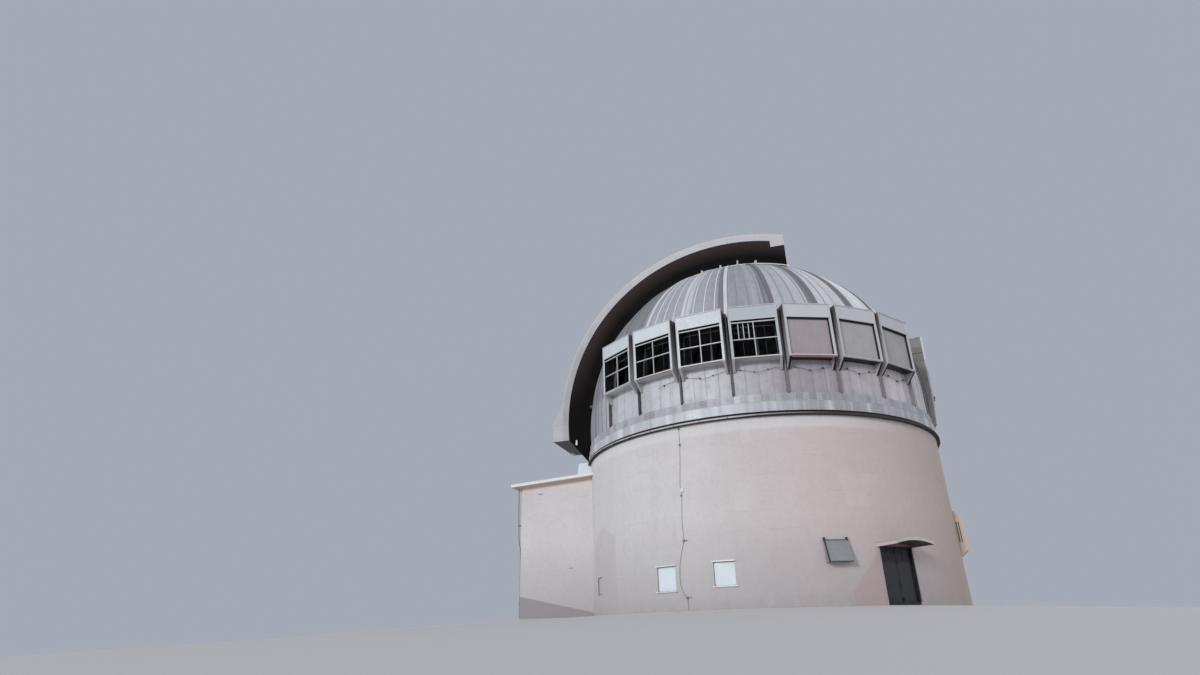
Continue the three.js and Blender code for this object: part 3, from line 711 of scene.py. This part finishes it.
def rear_paint(name):
    """Grey-brown patches on the box at the rear, with a dark groove."""
    g = Graph(name, 0.2)
    tone = g.coats(
        (132, 128, 128),
        (g.chance(g.x / 0.9, g.z / 1.4, 9), (158, 154, 153)),
        (g.noise(0.9, 6, 0.7).ramp(0.45, 0.72, 0.6), (112, 100, 97)),
        (g.z.ramp(19, 21.9, 0.35), (96, 92, 92)),
        (g.z.within(20.38, 20.46), (70, 66, 66)),
        (g.streaks(5, 0.35, 5).ramp(0.5, 0.78, 0.4), (92, 84, 83)),
    )
    return g.grained(tone, 0.5, 0.7, 10)


WALL = concrete("wall_paint", (216, 214, 214), (198, 189, 188), (212, 195, 191))
ANNEX = concrete("annex_paint", (216, 213, 215), (200, 193, 194))
ROOF = faced("roof_face", (238, 236, 235), (214, 186, 168), (176, 172, 170))
# The canopy's dark underside tone is painted shade.
CANOPY = faced("canopy_face", (206, 195, 191), (62, 46, 46), (190, 178, 174))
FLOOR = painted("slab_face", (134, 131, 128), (96, 92, 90), 0.0, 0.0, (0.8, 0.95))
CURB = curb_paint("curb_paint")
CAP = shell_paint("cap_sheets")
SKIRT = skirt_paint("skirt_sheets")
# Ribs and seams: the bright bearings are painted highlights where they catch the light.
RIB = rib_paint("rib_paint", (-37, 4), (136, 137, 142), (226, 228, 232), (122, 119, 122))
SEAM = rib_paint("seam_metal", (-31.5, -2, 38), (156, 157, 162), (252, 253, 255), (164, 165, 170),
                 (222, 224, 227))
RAIL = painted("rail_paint", (118, 116, 118), (84, 80, 81), 0.2, 0.1)
POST = painted("post_paint", (196, 194, 194), (140, 134, 133), 0.1, 0.1)
# Fins: the dark tone left of bearing 8 is painted shade between the vent boxes.
FIN = rib_paint("fin_paint", (8,), (50, 46, 50), (124, 116, 120))
VENT = vent_paint("vent_paint")
BAR = painted("bar_paint", (206, 207, 210), (150, 148, 149), 0.1, 0.1)
CLOSED = closed_paint("closed_paint")
RUST = painted("rust_edge", (146, 98, 86), (104, 68, 60), 0.0, 0.4, (0.75, 0.95), 2.5)
HOOD = hood_paint("hood_paint")
# The hood's cheeks and frames: near-black, partly painted shade.
HOOD_DARK = dark_paint("hood_dark", (8, 7, 8), (58, 48, 46))
# Near-black paint for the painted shadow gap at the skirt's foot.
GAP_SHADOW = dark_paint("gap_shadow_dark", (14, 13, 15), (22, 21, 23))
STEEL = painted("inner_steel", (62, 63, 67), (36, 35, 38), 0.2)
DOOR = painted("door_paint", (40, 40, 43), (24, 24, 26), 0.2, 0.0, (0.35, 0.55))
LEAF = painted("leaf_steel", (58, 57, 61), (36, 35, 38), 0.4, 0.0, (0.3, 0.5))
WHITE = painted("white_paint", (226, 238, 243), (206, 209, 211), 0.0, 0.0, (0.5, 0.7), 0.6)
TRIM = painted("trim_paint", (228, 229, 230), (176, 174, 175), 0.1)
GREY = painted("grey_sheet", (160, 162, 163), (124, 123, 125), 0.3, 0.1, (0.4, 0.6))
WIRE = painted("wire_sheath", (132, 122, 123), (84, 76, 77), 0.0, 0.0, (0.6, 0.8))
CABLE = painted("cable_sheath", (70, 62, 63), (40, 36, 37), 0.0, 0.0, (0.6, 0.8))
GLASS = painted("dark_glass", (20, 22, 26), (12, 13, 15), 0.0, 0.0, (0.08, 0.2))
REAR = rear_paint("rear_paint")

# Paint of the CAD nodes that stay, by how their names start
NODE_PAINT = {
    "floor_slab": FLOOR, "door_frame": DOOR, "door_leaf": GLASS, "door_canopy": CANOPY, "window_": WHITE,
    "wall_hatch": WALL, "louvre_hood": GREY, "side_bay": WALL, "annex_roof": ROOF, "annex_": ANNEX,
    "roof_box": WHITE, "rear_box": REAR, "vent_shutter": CLOSED, "vent_": VENT,
}
for name, made in nodes.items():
    for start, paint in NODE_PAINT.items():
        if name.startswith(start):
            made.data.materials.clear()
            made.data.materials.append(paint)
            break


# The round building

def building_shell():
    wall = Form()
    wall.band((WALL_R - WALL_T, WALL_R), (0, WALL_TOP))
    holes = Form()
    deep = (14.0, 16.0)
    holes.block(DOOR_BEARING, (-DOOR_HALF, DOOR_HALF), deep, (-1, DOOR_TOP))
    for bearing, half, z in (*WINDOWS, HATCH):
        holes.block(bearing, (-half, half), deep, z)
    walls = [n for n in nodes if n.startswith("wall_segment")]
    walls += ["wall_left_of_door", "wall_right_of_door", "wall_over_door"]
    piece("round_wall", wall, "building", WALL, walls, holes)
    curb = Form()
    inner, outer = TRACK_R
    curb.turned([(SKIRT_IN_R, WALL_TOP), (CURB_R, WALL_TOP), (CURB_R, CURB_TOP), (outer, CURB_TOP),
                 (outer, TRACK_TOP), (inner, TRACK_TOP), (inner, CURB_TOP), (SKIRT_IN_R, CURB_TOP)])
    piece("curb_band", curb, "building", CURB, ["curb_ring"])
    cable = Form()
    cable.tube([at(b, 0, CURB_R + 0.02 + 0.012 * sin(b / 5), 12.63 + 0.025 * sin(b / 9))
                for b in steps(-100, 95, 2.5)], 0.024, 6)
    for b in steps(-96, 92, 8):
        cable.block(b, (-0.03, 0.03), (CURB_R - 0.02, CURB_R + 0.06), (12.57, 12.7))
    piece("curb_cable", cable, "building", CABLE)


building_shell()


# The dome's shell

def shell_outline():
    """The closed outline of the shell's wall, from the drum's foot to near the apex and back inside."""
    end = degrees(acos(2.2 / DOME_R))
    inside = DOME_R - DOME_T
    outline = [(DOME_R, SKIRT_TOP)]
    for r, turns in ((DOME_R, steps(0, end, 2.0)), (inside, steps(end, 0, 2.0))):
        outline += [up_shell(r, a) for a in turns]
    return outline + [(inside, SKIRT_TOP)]


def dome_shell():
    for label, side, vents in (("near", -1, NEAR_VENTS), ("far", 1, FAR_VENTS)):
        shell = Form()
        middle = 0 if side < 0 else 180
        shell.turned(shell_outline(), (middle - 90, middle + 90))
        holes = Form()
        y = (-SLIT_HALF, 4.0) if side < 0 else (-4.0, SLIT_HALF)
        holes.box((-16, 16), y, (SKIRT_TOP - 0.1, 32))
        for bearing in vents:
            holes.block(bearing, (-VENT_CLEAR, VENT_CLEAR), (12.8, 15.7), VENT_HOLE)
        names = [f"dome_side_{label}", f"dome_cap_{label}_front", f"dome_cap_{label}_rear"]
        piece(f"dome_shell_{label}", shell, "dome", CAP, names, holes)


def slit_parts():
    rear = Form()
    rings = []
    across = steps(-SLIT_HALF, SLIT_HALF, 0.5)
    top = degrees(acos(4.0 / DOME_R))
    for a in [None] + steps(0, top, 2.0):
        ring = []
        for r, ys in ((DOME_R, across), (DOME_R - DOME_T, across[::-1])):
            for y in ys:
                k = sqrt(r * r - y * y)
                x, z = (k, SKIRT_TOP) if a is None else up_shell(k, a)
                ring.append((x, y, z))
        rings.append(ring)
    rear.loft(rings)
    piece("rear_shell", rear, "dome", CAP, ["dome_rear_strip"])
    sill = Form()
    edge = degrees(asin(SLIT_HALF / DOME_R))
    sill.band((DOME_R - DOME_T, DOME_R), (SKIRT_TOP, 15.0), (-90 - edge, -90 + edge))
    sill.band((DOME_R - 0.1, DOME_R + 0.12), (14.94, 15.0), (-90 - edge, -90 + edge))
    piece("slit_sill_wall", sill, "dome", CAP, ["slit_sill"])
    rails = Form()
    for side in (-1, 1):
        outline = arch(0, DOME_Z, RAIL_R[1], -5, 185) + arch(0, DOME_Z, RAIL_R[0], 185, -5)
        rails.slab(outline, beside(side, *RAIL_Y))
    piece("slit_rails", rails, "dome", RAIL)


def rib_end(bearing, r):
    """The angle up the shell at which an hour line meets the rails."""
    reach = abs(r * cos(radians(bearing)))
    return degrees(acos(min(1.0, RIB_END_Y / reach)))


def shell_ribs():
    """Hour ribs and sheet seams over the shell, which stop above the vents where there are any."""
    ribs, seams, fins = Form(), Form(), Form()
    crown, ridge = DOME_R + RIB_PROUD, DOME_R + SEAM_PROUD
    over = degrees(asin((FIN_TOP - DOME_Z) / crown))
    for turn, sign in ((0, 1), (180, -1)):
        for i in range(-20, 21):
            bearing = turn + sign * i * SEAM_PITCH
            drum, first = (None, over) if -12 <= i <= 16 else (SKIRT_TOP, 0)
            if i % 4 == 0:
                end = rib_end(bearing, crown)
                ribs.meridian(bearing, RIB_HALF, (DOME_R - 0.05, crown), first, end, drum=drum)
                continue
            end = rib_end(bearing, ridge)
            if end > first + 2:
                seams.meridian(bearing, SEAM_HALF, (DOME_R - 0.03, ridge), first, end, drum=drum)
        for b in range(-45, 61, 15):
            outline = [(14.7, 14.1), (14.9, 14.1), (FIN_OUT_R, 14.35), (FIN_OUT_R, FIN_TOP), (14.0, FIN_TOP)]
            fins.plate(turn + sign * b, outline, (-FIN_HALF, FIN_HALF))
            for z in (14.5, 15.3, 16.1):
                fins.block(turn + sign * b, (-0.1, 0.1), (14.8, 14.88), (z, z + 0.1))
    piece("shell_ribs", ribs, "dome", RIB, bevel=0.02)
    piece("shell_seams", seams, "dome", SEAM)
    piece("vent_fins", fins, "dome", FIN)


def skirt():
    ring = Form()
    foot = TRACK_TOP + 0.0005
    ring.turned([(SKIRT_IN_R, foot), (SKIRT_R, foot), (SKIRT_R, SKIRT_STEP), (SKIRT_UPPER_R, SKIRT_STEP),
                 (SKIRT_UPPER_R, SKIRT_TOP), (SKIRT_IN_R, SKIRT_TOP)])
    piece("skirt_sheeting", ring, "dome", SKIRT, ["dome_skirt_ring"])
    # A painted shadow: a near-black band at the skirt's foot stands in for the shadow gap above the curb.
    gap_shadow = Form()
    gap_shadow.band((SKIRT_R - 0.3, SKIRT_R + 0.012), (foot, foot + 0.06))
    piece("skirt_gap_shadow", gap_shadow, "dome", GAP_SHADOW)
    trim = Form()
    trim.band((SKIRT_R - 0.05, SKIRT_R + 0.02), (SKIRT_STEP - 0.03, SKIRT_STEP))
    trim.band((SKIRT_UPPER_R - 0.05, SKIRT_UPPER_R + 0.012), (FLASHING_TOP - 0.02, FLASHING_TOP))
    flashing = Form()
    flashing.band((DOME_R - 0.02, SKIRT_UPPER_R), (SKIRT_TOP - 0.02, FLASHING_TOP))
    for i in range(96):
        lap = (SKIRT_STEP + 0.02, FLASHING_TOP - 0.03)
        flashing.block(i * SEAM_PITCH, (-0.3, 0.3), (DOME_R, SKIRT_UPPER_R + 0.01), lap)
    piece("belt_flashing", flashing, "dome", SKIRT)
    piece("skirt_trim", trim, "dome", BAR)


def inner_frame():
    """Ring beams and uprights inside the shell, seen through the open vents and the slit."""
    frames = Form()
    spans = ((-78, 78), (102, 258))
    for span in spans:
        for r, z in ((14.1, 14.3), (14.1, 16.7), (13.5, 20.3)):
            frames.band((r, r + 0.35), (z, z + 0.16), span, 3.75)
            frames.band((r + 0.18, r + 0.24), (z - 0.2, z + 0.36), span, 3.75)
        for bearing in steps(span[0] + 3, span[1], RIB_PITCH):
            frames.meridian(bearing, 0.07, (14.25, 14.5), 0, 55, 5.0, drum=14.1)
    piece("inner_frames", frames, "dome", STEEL)


inner_frame()
dome_shell()
slit_parts()
shell_ribs()
skirt()


# The vents' bars, sills and frames

def swing(bearing):
    """Where a bearing lies between two hangers of the cable, from -1 to 1."""
    return ((bearing + 22.5) % RIB_PITCH) / RIB_PITCH * 2 - 1


def vent_details():
    """Bars in the open vents, sills, head bars, rust and the cable slung below the vents."""
    bars, sills, rust, posts, sling = Form(), Form(), Form(), Form(), Form()
    middle = (VENT_HOLE[0] + HEADER_FOOT) / 2
    clear = (-VENT_CLEAR, VENT_CLEAR)
    strips = ((VENT_HALF, 0.1, 0.06, VENT_SILL), (VENT_HALF + 0.02, 0.02, 0.05, (VENT_TOP - 0.06, VENT_TOP)),
              (VENT_HALF + 0.02, 0.02, 0.035, (VENT_HOLE[1], VENT_HOLE[1] + 0.05)))
    for vents in (NEAR_VENTS, FAR_VENTS):
        for i, bearing in enumerate(vents):
            for half, back, front, z in strips:
                sills.block(bearing, (-half, half), (VENT_FACE - back, VENT_FACE + front), z)
            for u in (-VENT_HALF - 0.02, VENT_HALF - 0.03):
                sills.block(bearing, (u, u + 0.05), (VENT_FACE - 0.02, VENT_FACE + 0.03), (16.9, VENT_TOP))
            if i >= OPEN_VENTS:
                sills.block(bearing, (-1.5, 1.5), (15.4, 15.43), (17.04, 17.1))
                continue
            sills.block(bearing, clear, (15.44, 15.5), (HEADER_FOOT - 0.08, HEADER_FOOT))
            bars.block(bearing, (-0.033, 0.033), (15.4, 15.48), (VENT_HOLE[0], HEADER_FOOT))
            bars.block(bearing, clear, (15.41, 15.49), (middle - 0.033, middle + 0.033))
            for u in (-0.85, 0.8):
                posts.block(bearing, (u - 0.012, u + 0.012), (15.2, 15.23), (VENT_HOLE[0], HEADER_FOOT))
        for i in (1, 2, 3, 4):
            deep = 0.16 if i == OPEN_VENTS else 0.05
            rust.block(vents[i], (-1.6, 1.6), (VENT_FACE - 0.06, VENT_FACE + 0.045), (16.93 - deep, 16.93))
    for u in (-1.12, -0.74, -0.36):
        bars.block(NEAR_VENTS[3], (u - 0.03, u + 0.03), (15.3, 15.34), (middle, HEADER_FOOT))
    posts.block(NEAR_VENTS[3], (-VENT_CLEAR, -0.1), (15.24, 15.27), (middle + 0.6, middle + 0.63))
    for turn, sign in ((0, 1), (180, -1)):
        path = []
        for b in steps(-22.5, 60, 1.25):
            sag = swing(b)
            path.append(at(turn + sign * b, 0, 14.95 + 0.17 * sag ** 6, 16.3 - 0.4 * sag ** 2))
        sling.tube(path, 0.013, 6)
        for k, b in enumerate(steps(-20.6, 56.6, 3.86)):
            z = 16.32 - 0.4 * swing(b) ** 2
            size = 0.02 + 0.014 * (k % 3 == 0)
            sling.block(turn + sign * b, (-size, size), (14.8, 14.98), (z - size, z + 0.08))
    for name, form, paint in (("bars", bars, BAR), ("sills", sills, BAR), ("rust_edge", rust, RUST),
                              ("posts", posts, STEEL)):
        piece(f"vent_{name}", form, "dome", paint)
    piece("vent_cable", sling, "dome", CABLE)


def rear_fittings():
    """A light cover strip up the rear box's outer corners, and a small dark lamp bracket."""
    strip = Form()
    head = 21.85
    face = [(15.1, SKIRT_TOP), (15.13, SKIRT_TOP), (15.33, 16.3), (15.46, head), (15.3, head), (15.2, 16.3)]
    for side in (-1, 1):
        strip.slab(face, beside(side, 2.47, 2.38))
    strip.slab(corners((14.9, 15.46), (head - 0.05, head)), (-2.45, 2.45))
    piece("rear_strip_cover", strip, "dome", BAR)
    bracket = Form()
    bracket.box((15.25, 15.4), (-2.4, -2.25), (16.05, 16.35))
    bracket.box((15.3, 15.45), (-2.43, -2.22), (16.3, 16.42))
    piece("rear_bracket", bracket, "dome", CABLE)


vent_details()
rear_fittings()


# The hood

def hood_arch(r, foot, rear):
    """An arc round the hood's centre, from the height of its foot in front to its end at the rear."""
    start = degrees(asin((foot - HOOD_Z) / r))
    return arch(HOOD_X, HOOD_Z, r, start, 180 - degrees(acos((rear - HOOD_X) / r)))


def hood():
    tab = [HOOD_TAB, (HOOD_REAR_X, HOOD_TAB[1])]
    inner = hood_arch(HOOD_IN_R, HOOD_LIP_FOOT, HOOD_TAB[0])
    beam = [(HOOD_LIP_X, 17.49)] + hood_arch(HOOD_OUT_R, 19.4, HOOD_REAR_X)
    beam += tab[::-1] + inner[::-1] + [(HOOD_LIP_X, HOOD_LIP_FOOT)]
    rear_foot = 180 - degrees(acos(HOOD_REAR_X / HOOD_FOOT_R))
    wall = [(-15.12, 13.56)] + inner + tab + arch(0, DOME_Z, HOOD_FOOT_R, rear_foot, 0)
    for label, side in (("near", -1), ("far", 1)):
        sheet, plate = Form(), Form()
        plate.slab(beam, beside(side, *HOOD_EDGE_Y))
        piece(f"hood_edge_{label}", plate, "hood", HOOD, [f"hood_beam_{label}"])
        sheet.slab(wall, beside(side, *HOOD_WALL_Y))
        piece(f"hood_cheek_{label}", sheet, "hood", HOOD_DARK, [f"hood_wall_{label}"])
    top = HOOD_LIP_FOOT + 0.2
    under, over = (hood_arch(r, top, HOOD_REAR_X) for r in HOOD_SKIN_R)
    skin = [(HOOD_LIP_X, top)] + over + under[::-1]
    skin += [(-16.97, top), (-16.97, HOOD_LIP_FOOT), (HOOD_LIP_X, HOOD_LIP_FOOT)]
    sheet = Form()
    sheet.slab(skin, (-HOOD_EDGE_Y[1], HOOD_EDGE_Y[1]))
    piece("hood_sheeting", sheet, "hood", HOOD, ["hood_skin"])


def strut(angle, low, high, half, taper=1.0):
    """Side view outline of a bar that points away from the dome's centre; the angle grows from -X."""
    t = radians(angle)
    points = []
    for r, w in ((low, -half), (low, half), (high, half * taper), (high, -half * taper)):
        x, z = up_shell(r, 180 - angle)
        points.append((x + w * sin(t), z + w * cos(t)))
    return points


def hood_details():
    rollers, posts, frames, lamps, trim = Form(), Form(), Form(), Form(), Form()
    for side in (-1, 1):
        for angle in (10, 35, 60, 80, 90, 100):
            centre = up_shell(RAIL_R[1] + 0.1505, 180 - angle)
            rollers.slab(disc(centre, 0.15, 24), beside(side, 2.86, 2.94))
            rollers.slab(disc(centre, 0.06, 16), beside(side, 2.78, 2.97))
        flashing = arch(0, DOME_Z, 15.44, 74, 110.6) + arch(0, DOME_Z, 15.35, 110.6, 74)
        trim.slab(flashing, beside(side, 2.8, 2.88))
        for angle, high, half in HOOD_POSTS:
            posts.slab(strut(angle, 15.3, high, half, 0.6), beside(side, 2.8, 2.95))
        for angle in range(13, 106, 14):
            frames.slab(strut(angle, 15.5, 16.4 if angle < 30 else 16.9, 0.03), beside(side, 2.8, 2.84))
    for y in (-1.3, 0.0, 1.3):
        beam = arch(HOOD_X, HOOD_Z, 17.2, 0, 108) + arch(HOOD_X, HOOD_Z, 16.95, 108, 0)
        frames.slab(beam, (y - 0.06, y + 0.06))
    lamps.box((-16.29, -16.15), (-2.93, -2.8), (15.2, 15.68))
    lamps.box((-16.32, -16.12), (-2.95, -2.92), (15.25, 15.4))
    lamps.box((-18.45, -18.1), (1.7, 2.3), (HOOD_LIP_FOOT - 0.12, HOOD_LIP_FOOT))
    piece("hood_rollers", rollers, "hood", STEEL)
    piece("hood_posts", posts, "hood", POST)
    piece("hood_frames", frames, "hood", HOOD_DARK)
    piece("hood_lamps", lamps, "hood", WHITE)
    piece("hood_flashing", trim, "hood", TRIM)


hood()
hood_details()


# Fittings on the wall

def wall_fittings():
    trim, boards = Form(), Form()
    for bearing, half, z in WINDOWS:
        for low, over in ((z[0] - 0.08, 0.12), (z[1], 0.08)):
            trim.block(bearing, (-half - over, half + over), (14.7, 15.1), (low, low + 0.08))
        for u in (-half, half - 0.05):
            trim.block(bearing, (u, u + 0.05), (14.68, 14.76), z)
        for low in (z[0], z[1] - 0.05):
            trim.block(bearing, (-half, half), (14.68, 14.74), (low, low + 0.05))
        left, right, foot, head = -half + 0.03, half - 0.01, z[0] + 0.02, z[1] - 0.02
        boards.block(bearing, (left, right), (14.85, 14.88), (foot, head))
        for u in (left, right - 0.06):
            boards.block(bearing, (u, u + 0.06), (14.87, 14.895), (foot, head))
        for low in (foot, head - 0.06):
            boards.block(bearing, (left, right), (14.87, 14.895), (low, low + 0.06))
    piece("window_trim", trim, "building", TRIM)
    piece("window_boards", boards, "building", WHITE)
    cable = Form()
    path = [(-16.5, 12.6), (-16.5, 11.3), (-16.8, 10.0), (-17.3, 8.3), (-16.9, 7.7), (-17.1, 7.0),
            (-17.4, 5.9), (-17.2, 4.5), (-18.3, 3.6), (-18.9, 2.9), (-19.1, 2.2), (-19.0, 1.6),
            (-18.2, 1.05), (-17.3, 0.8), (-17.1, 0.4), (-17.1, 0.02)]
    cable.tube([at(b, 0, WALL_R + 0.03, z) for b, z in path], 0.012, 8)
    for b, z, size in ((-16.5, 12.45, 0.06), (-16.5, 11.25, 0.06), (-17.1, 7.6, 0.05), (-17.2, 4.5, 0.07),
                       (-17.3, 0.8, 0.07)):
        cable.block(b, (-size, size), (WALL_R - 0.02, WALL_R + 0.09), (z - size, z + size))
    for z in (4.5, 0.8):
        cable.tube([at(-17.2, 0, WALL_R + 0.04, z), at(-16.0, 0, WALL_R + 0.04, z)], 0.02, 6)
    piece("wall_cable", cable, "building", WIRE, ["wall_conduit"])
    box = Form()
    box.block(-17.0, (-0.02, 0.2), (WALL_R - 0.02, WALL_R + 0.1), (7.85, 8.1))
    box.block(-17.0, (0.0, 0.18), (WALL_R + 0.08, WALL_R + 0.12), (7.87, 8.08))
    piece("cable_box", box, "building", WHITE)


def plate_on(form, bearing, face, u, start, end, proud=0.03):
    """A strip on a sloping face, between two parts of its height from foot to head."""
    (v0, z0), (v1, z1) = face
    low, foot = v0 + (v1 - v0) * start, z0 + (z1 - z0) * start
    high, head = v0 + (v1 - v0) * end, z0 + (z1 - z0) * end
    outline = [(low - 0.04, foot), (low + proud, foot), (high + proud, head), (high - 0.04, head)]
    form.plate(bearing, outline, u)


def wall_trim():
    """Edges of the louvre hood, the reveal lines of the hatch, and the slit windows of the side bay."""
    dark, pale = Form(), Form()
    bearing, half, face = LOUVRE
    plate_on(dark, bearing, face, (-half - 0.02, -half + 0.07), 0, 1)
    plate_on(dark, bearing, face, (-half, half), 0, 0.045, 0.02)
    plate_on(dark, bearing, face, (-half, half), 0.955, 0.985, 0.02)
    for u in (-half, half - 0.08):
        dark.block(bearing, (u, u + 0.08), (14.98, 15.2), (3.95, 4.2))
    for k in range(1, 9):
        plate_on(pale, bearing, face, (-half + 0.1, half - 0.06), k / 9 - 0.012, k / 9 + 0.012, 0.015)
    bearing, half, z = HATCH
    # Painted shade: a dark strip down the hatch's left reveal.
    dark.block(bearing, (-half, -half + 0.04), (14.9, 14.99), z)
    for low in (z[0] - 0.02, z[1] - 0.02):
        dark.block(bearing, (-half, half), (14.9, 15.005), (low, low + 0.03))
    bearing, half = SIDE_BAY
    for v in (15.04, 15.2):
        for u in (-half - 0.02, half):
            dark.block(bearing, (u, u + 0.02), (v, v + 0.06), (4.55, 6.05))
    for low in (4.9, 5.7):
        dark.block(bearing, (-0.5, 0.5), (15.4, 15.545), (low, low + 0.05))
    piece("wall_dark_trim", dark, "building", CABLE)
    piece("louvre_slats", pale, "building", GREY)


def annex_details():
    """The thin downpipe off the annex's eaves, its brackets and one small bracket on the front."""
    pipe = Form()
    pipe.tube([(-20.78, -5.72, 10.91), (-20.74, -5.72, 8.6), (-20.66, -5.72, 6.4), (-20.5, -5.72, 5.6),
               (-20.47, -5.72, 3.0), (-20.47, -5.72, 0.1)], 0.03, 8)
    for z, reach in ((7.6, -20.74), (5.5, -20.55), (3.2, -20.52), (1.2, -20.52)):
        pipe.box((reach, -20.38), (-5.77, -5.67), (z, z + 0.06))
    pipe.box((-18.8, -18.4), (-5.94, -5.89), (10.22, 10.25))
    pipe.box((-15.95, -15.6), (-5.92, -5.89), (3.84, 3.865))
    piece("annex_pipe", pipe, "building", CABLE)


def entrance():
    """Stiles, rails, handles and kick plates of the two leaves, and the transom's frame."""
    for label, side, body in (("left", -1, "left_leaf"), ("right", 1, "right_leaf")):
        leaf = Form()
        for face in LEAF_FACES:
            for a, b in ((LEAF_EDGE[0], 0.11), (1.11, LEAF_EDGE[1])):
                leaf.block(DOOR_BEARING, beside(side, a, b), face, LEAF_Z)
            for z in ((LEAF_Z[0], 0.48), (1.12, 1.26), (2.58, LEAF_Z[1])):
                leaf.block(DOOR_BEARING, beside(side, *LEAF_EDGE), face, z)
        leaf.tube([at(DOOR_BEARING, side * 0.06, v, z) for v, z in
                   ((14.8, 0.95), (14.845, 0.97), (14.845, 1.45), (14.8, 1.47))], 0.014, 8)
        piece(f"leaf_frame_{label}", leaf, body, LEAF)
    rim = Form()
    for u in ((-DOOR_HALF, -1.27), (1.27, DOOR_HALF)):
        rim.block(DOOR_BEARING, u, (14.83, 14.99), (0.2, DOOR_TOP))
    rim.block(DOOR_BEARING, (-DOOR_HALF, DOOR_HALF), (14.83, 14.99), (3.57, DOOR_TOP))
    for u in (-0.62, 0.0, 0.62):
        rim.block(DOOR_BEARING, (u - 0.02, u + 0.02), (14.77, 14.81), (2.8, 3.55))
    piece("doorway_rim", rim, "building", LEAF)


wall_fittings()
wall_trim()
annex_details()
entrance()


# Stage, light and camera

SKY = (178, 184, 196)
SKY_STRENGTH = 0.84
# Name, strength, softness in degrees and direction of each light
STUDIO = (("key", 1.46, 14, (0.375, 0.927, -0.3)), ("side", 0.28, 60, (-0.8, 0.5, -0.25)),
          ("back", 0.4, 60, (-0.4, -0.8, -0.4)))

# The photograph's viewpoint, and the turn, pitch and roll of its camera in degrees
VIEWPOINT = (4.514, -62.973, -1.425)
VIEW_TURN, VIEW_PITCH, VIEW_ROLL = 16.84, 23.59, -1.27
VIEW_LENS = 20.49


def stage():
    """A pale floor that is level under the building and falls gently away from it."""
    def footprint(bearing):
        s, c = sin(radians(bearing)), cos(radians(bearing))
        reach = min(ANNEX_X / s, ANNEX_HALF / max(abs(c), 1e-6)) if s < -1e-6 else 0
        return max(WALL_R, reach) + 0.02

    reaches = (0, 1, 3, 8, 20, 50, 120, 400, 1500)
    points = [(0, 0, 0)] + [at(b, 0, footprint(b) + out, -0.05 * out) for out in reaches for b in range(360)]
    faces = [(0, 1 + i, 1 + (i + 1) % 360) for i in range(360)]
    for a in range(1, len(points) - 360, 360):
        for i in range(360):
            j = (i + 1) % 360
            faces.append((a + i, a + j, a + 360 + j, a + 360 + i))
    mesh = bpy.data.meshes.new("stage_floor")
    mesh.from_pydata(points, [], faces)
    floor = place("stage_floor", mesh)
    floor.location.z = -0.004
    g = Graph("stage_paint")
    mesh.materials.append(g.finish((214, 213, 211), 0.9))


def lights():
    world = bpy.data.worlds.new("studio")
    bpy.context.scene.world = world
    world.use_nodes = True
    back = world.node_tree.nodes["Background"]
    back.inputs[0].default_value = srgb(SKY)
    back.inputs[1].default_value = SKY_STRENGTH
    for name, energy, angle, towards in STUDIO:
        sun = bpy.data.lights.new(name, "SUN")
        sun.energy = energy
        sun.angle = radians(angle)
        sun.color = (1.0, 0.985, 0.97)
        place(name, sun).rotation_euler = Vector(towards).to_track_quat("-Z", "Y").to_euler()
    bpy.context.scene.view_settings.view_transform = "Standard"


def camera():
    lens = bpy.data.cameras.new("photo")
    lens.lens = VIEW_LENS
    lens.sensor_width = 36
    lens.clip_end = 5000
    made = place("photo", lens)
    aim = Matrix.Rotation(radians(VIEW_TURN), 4, "Z") @ Matrix.Rotation(radians(90 + VIEW_PITCH), 4, "X")
    roll = Matrix.Rotation(radians(VIEW_ROLL), 4, "Z")
    made.matrix_world = Matrix.Translation(VIEWPOINT) @ aim @ roll
    bpy.context.scene.camera = made


stage()
lights()
camera()
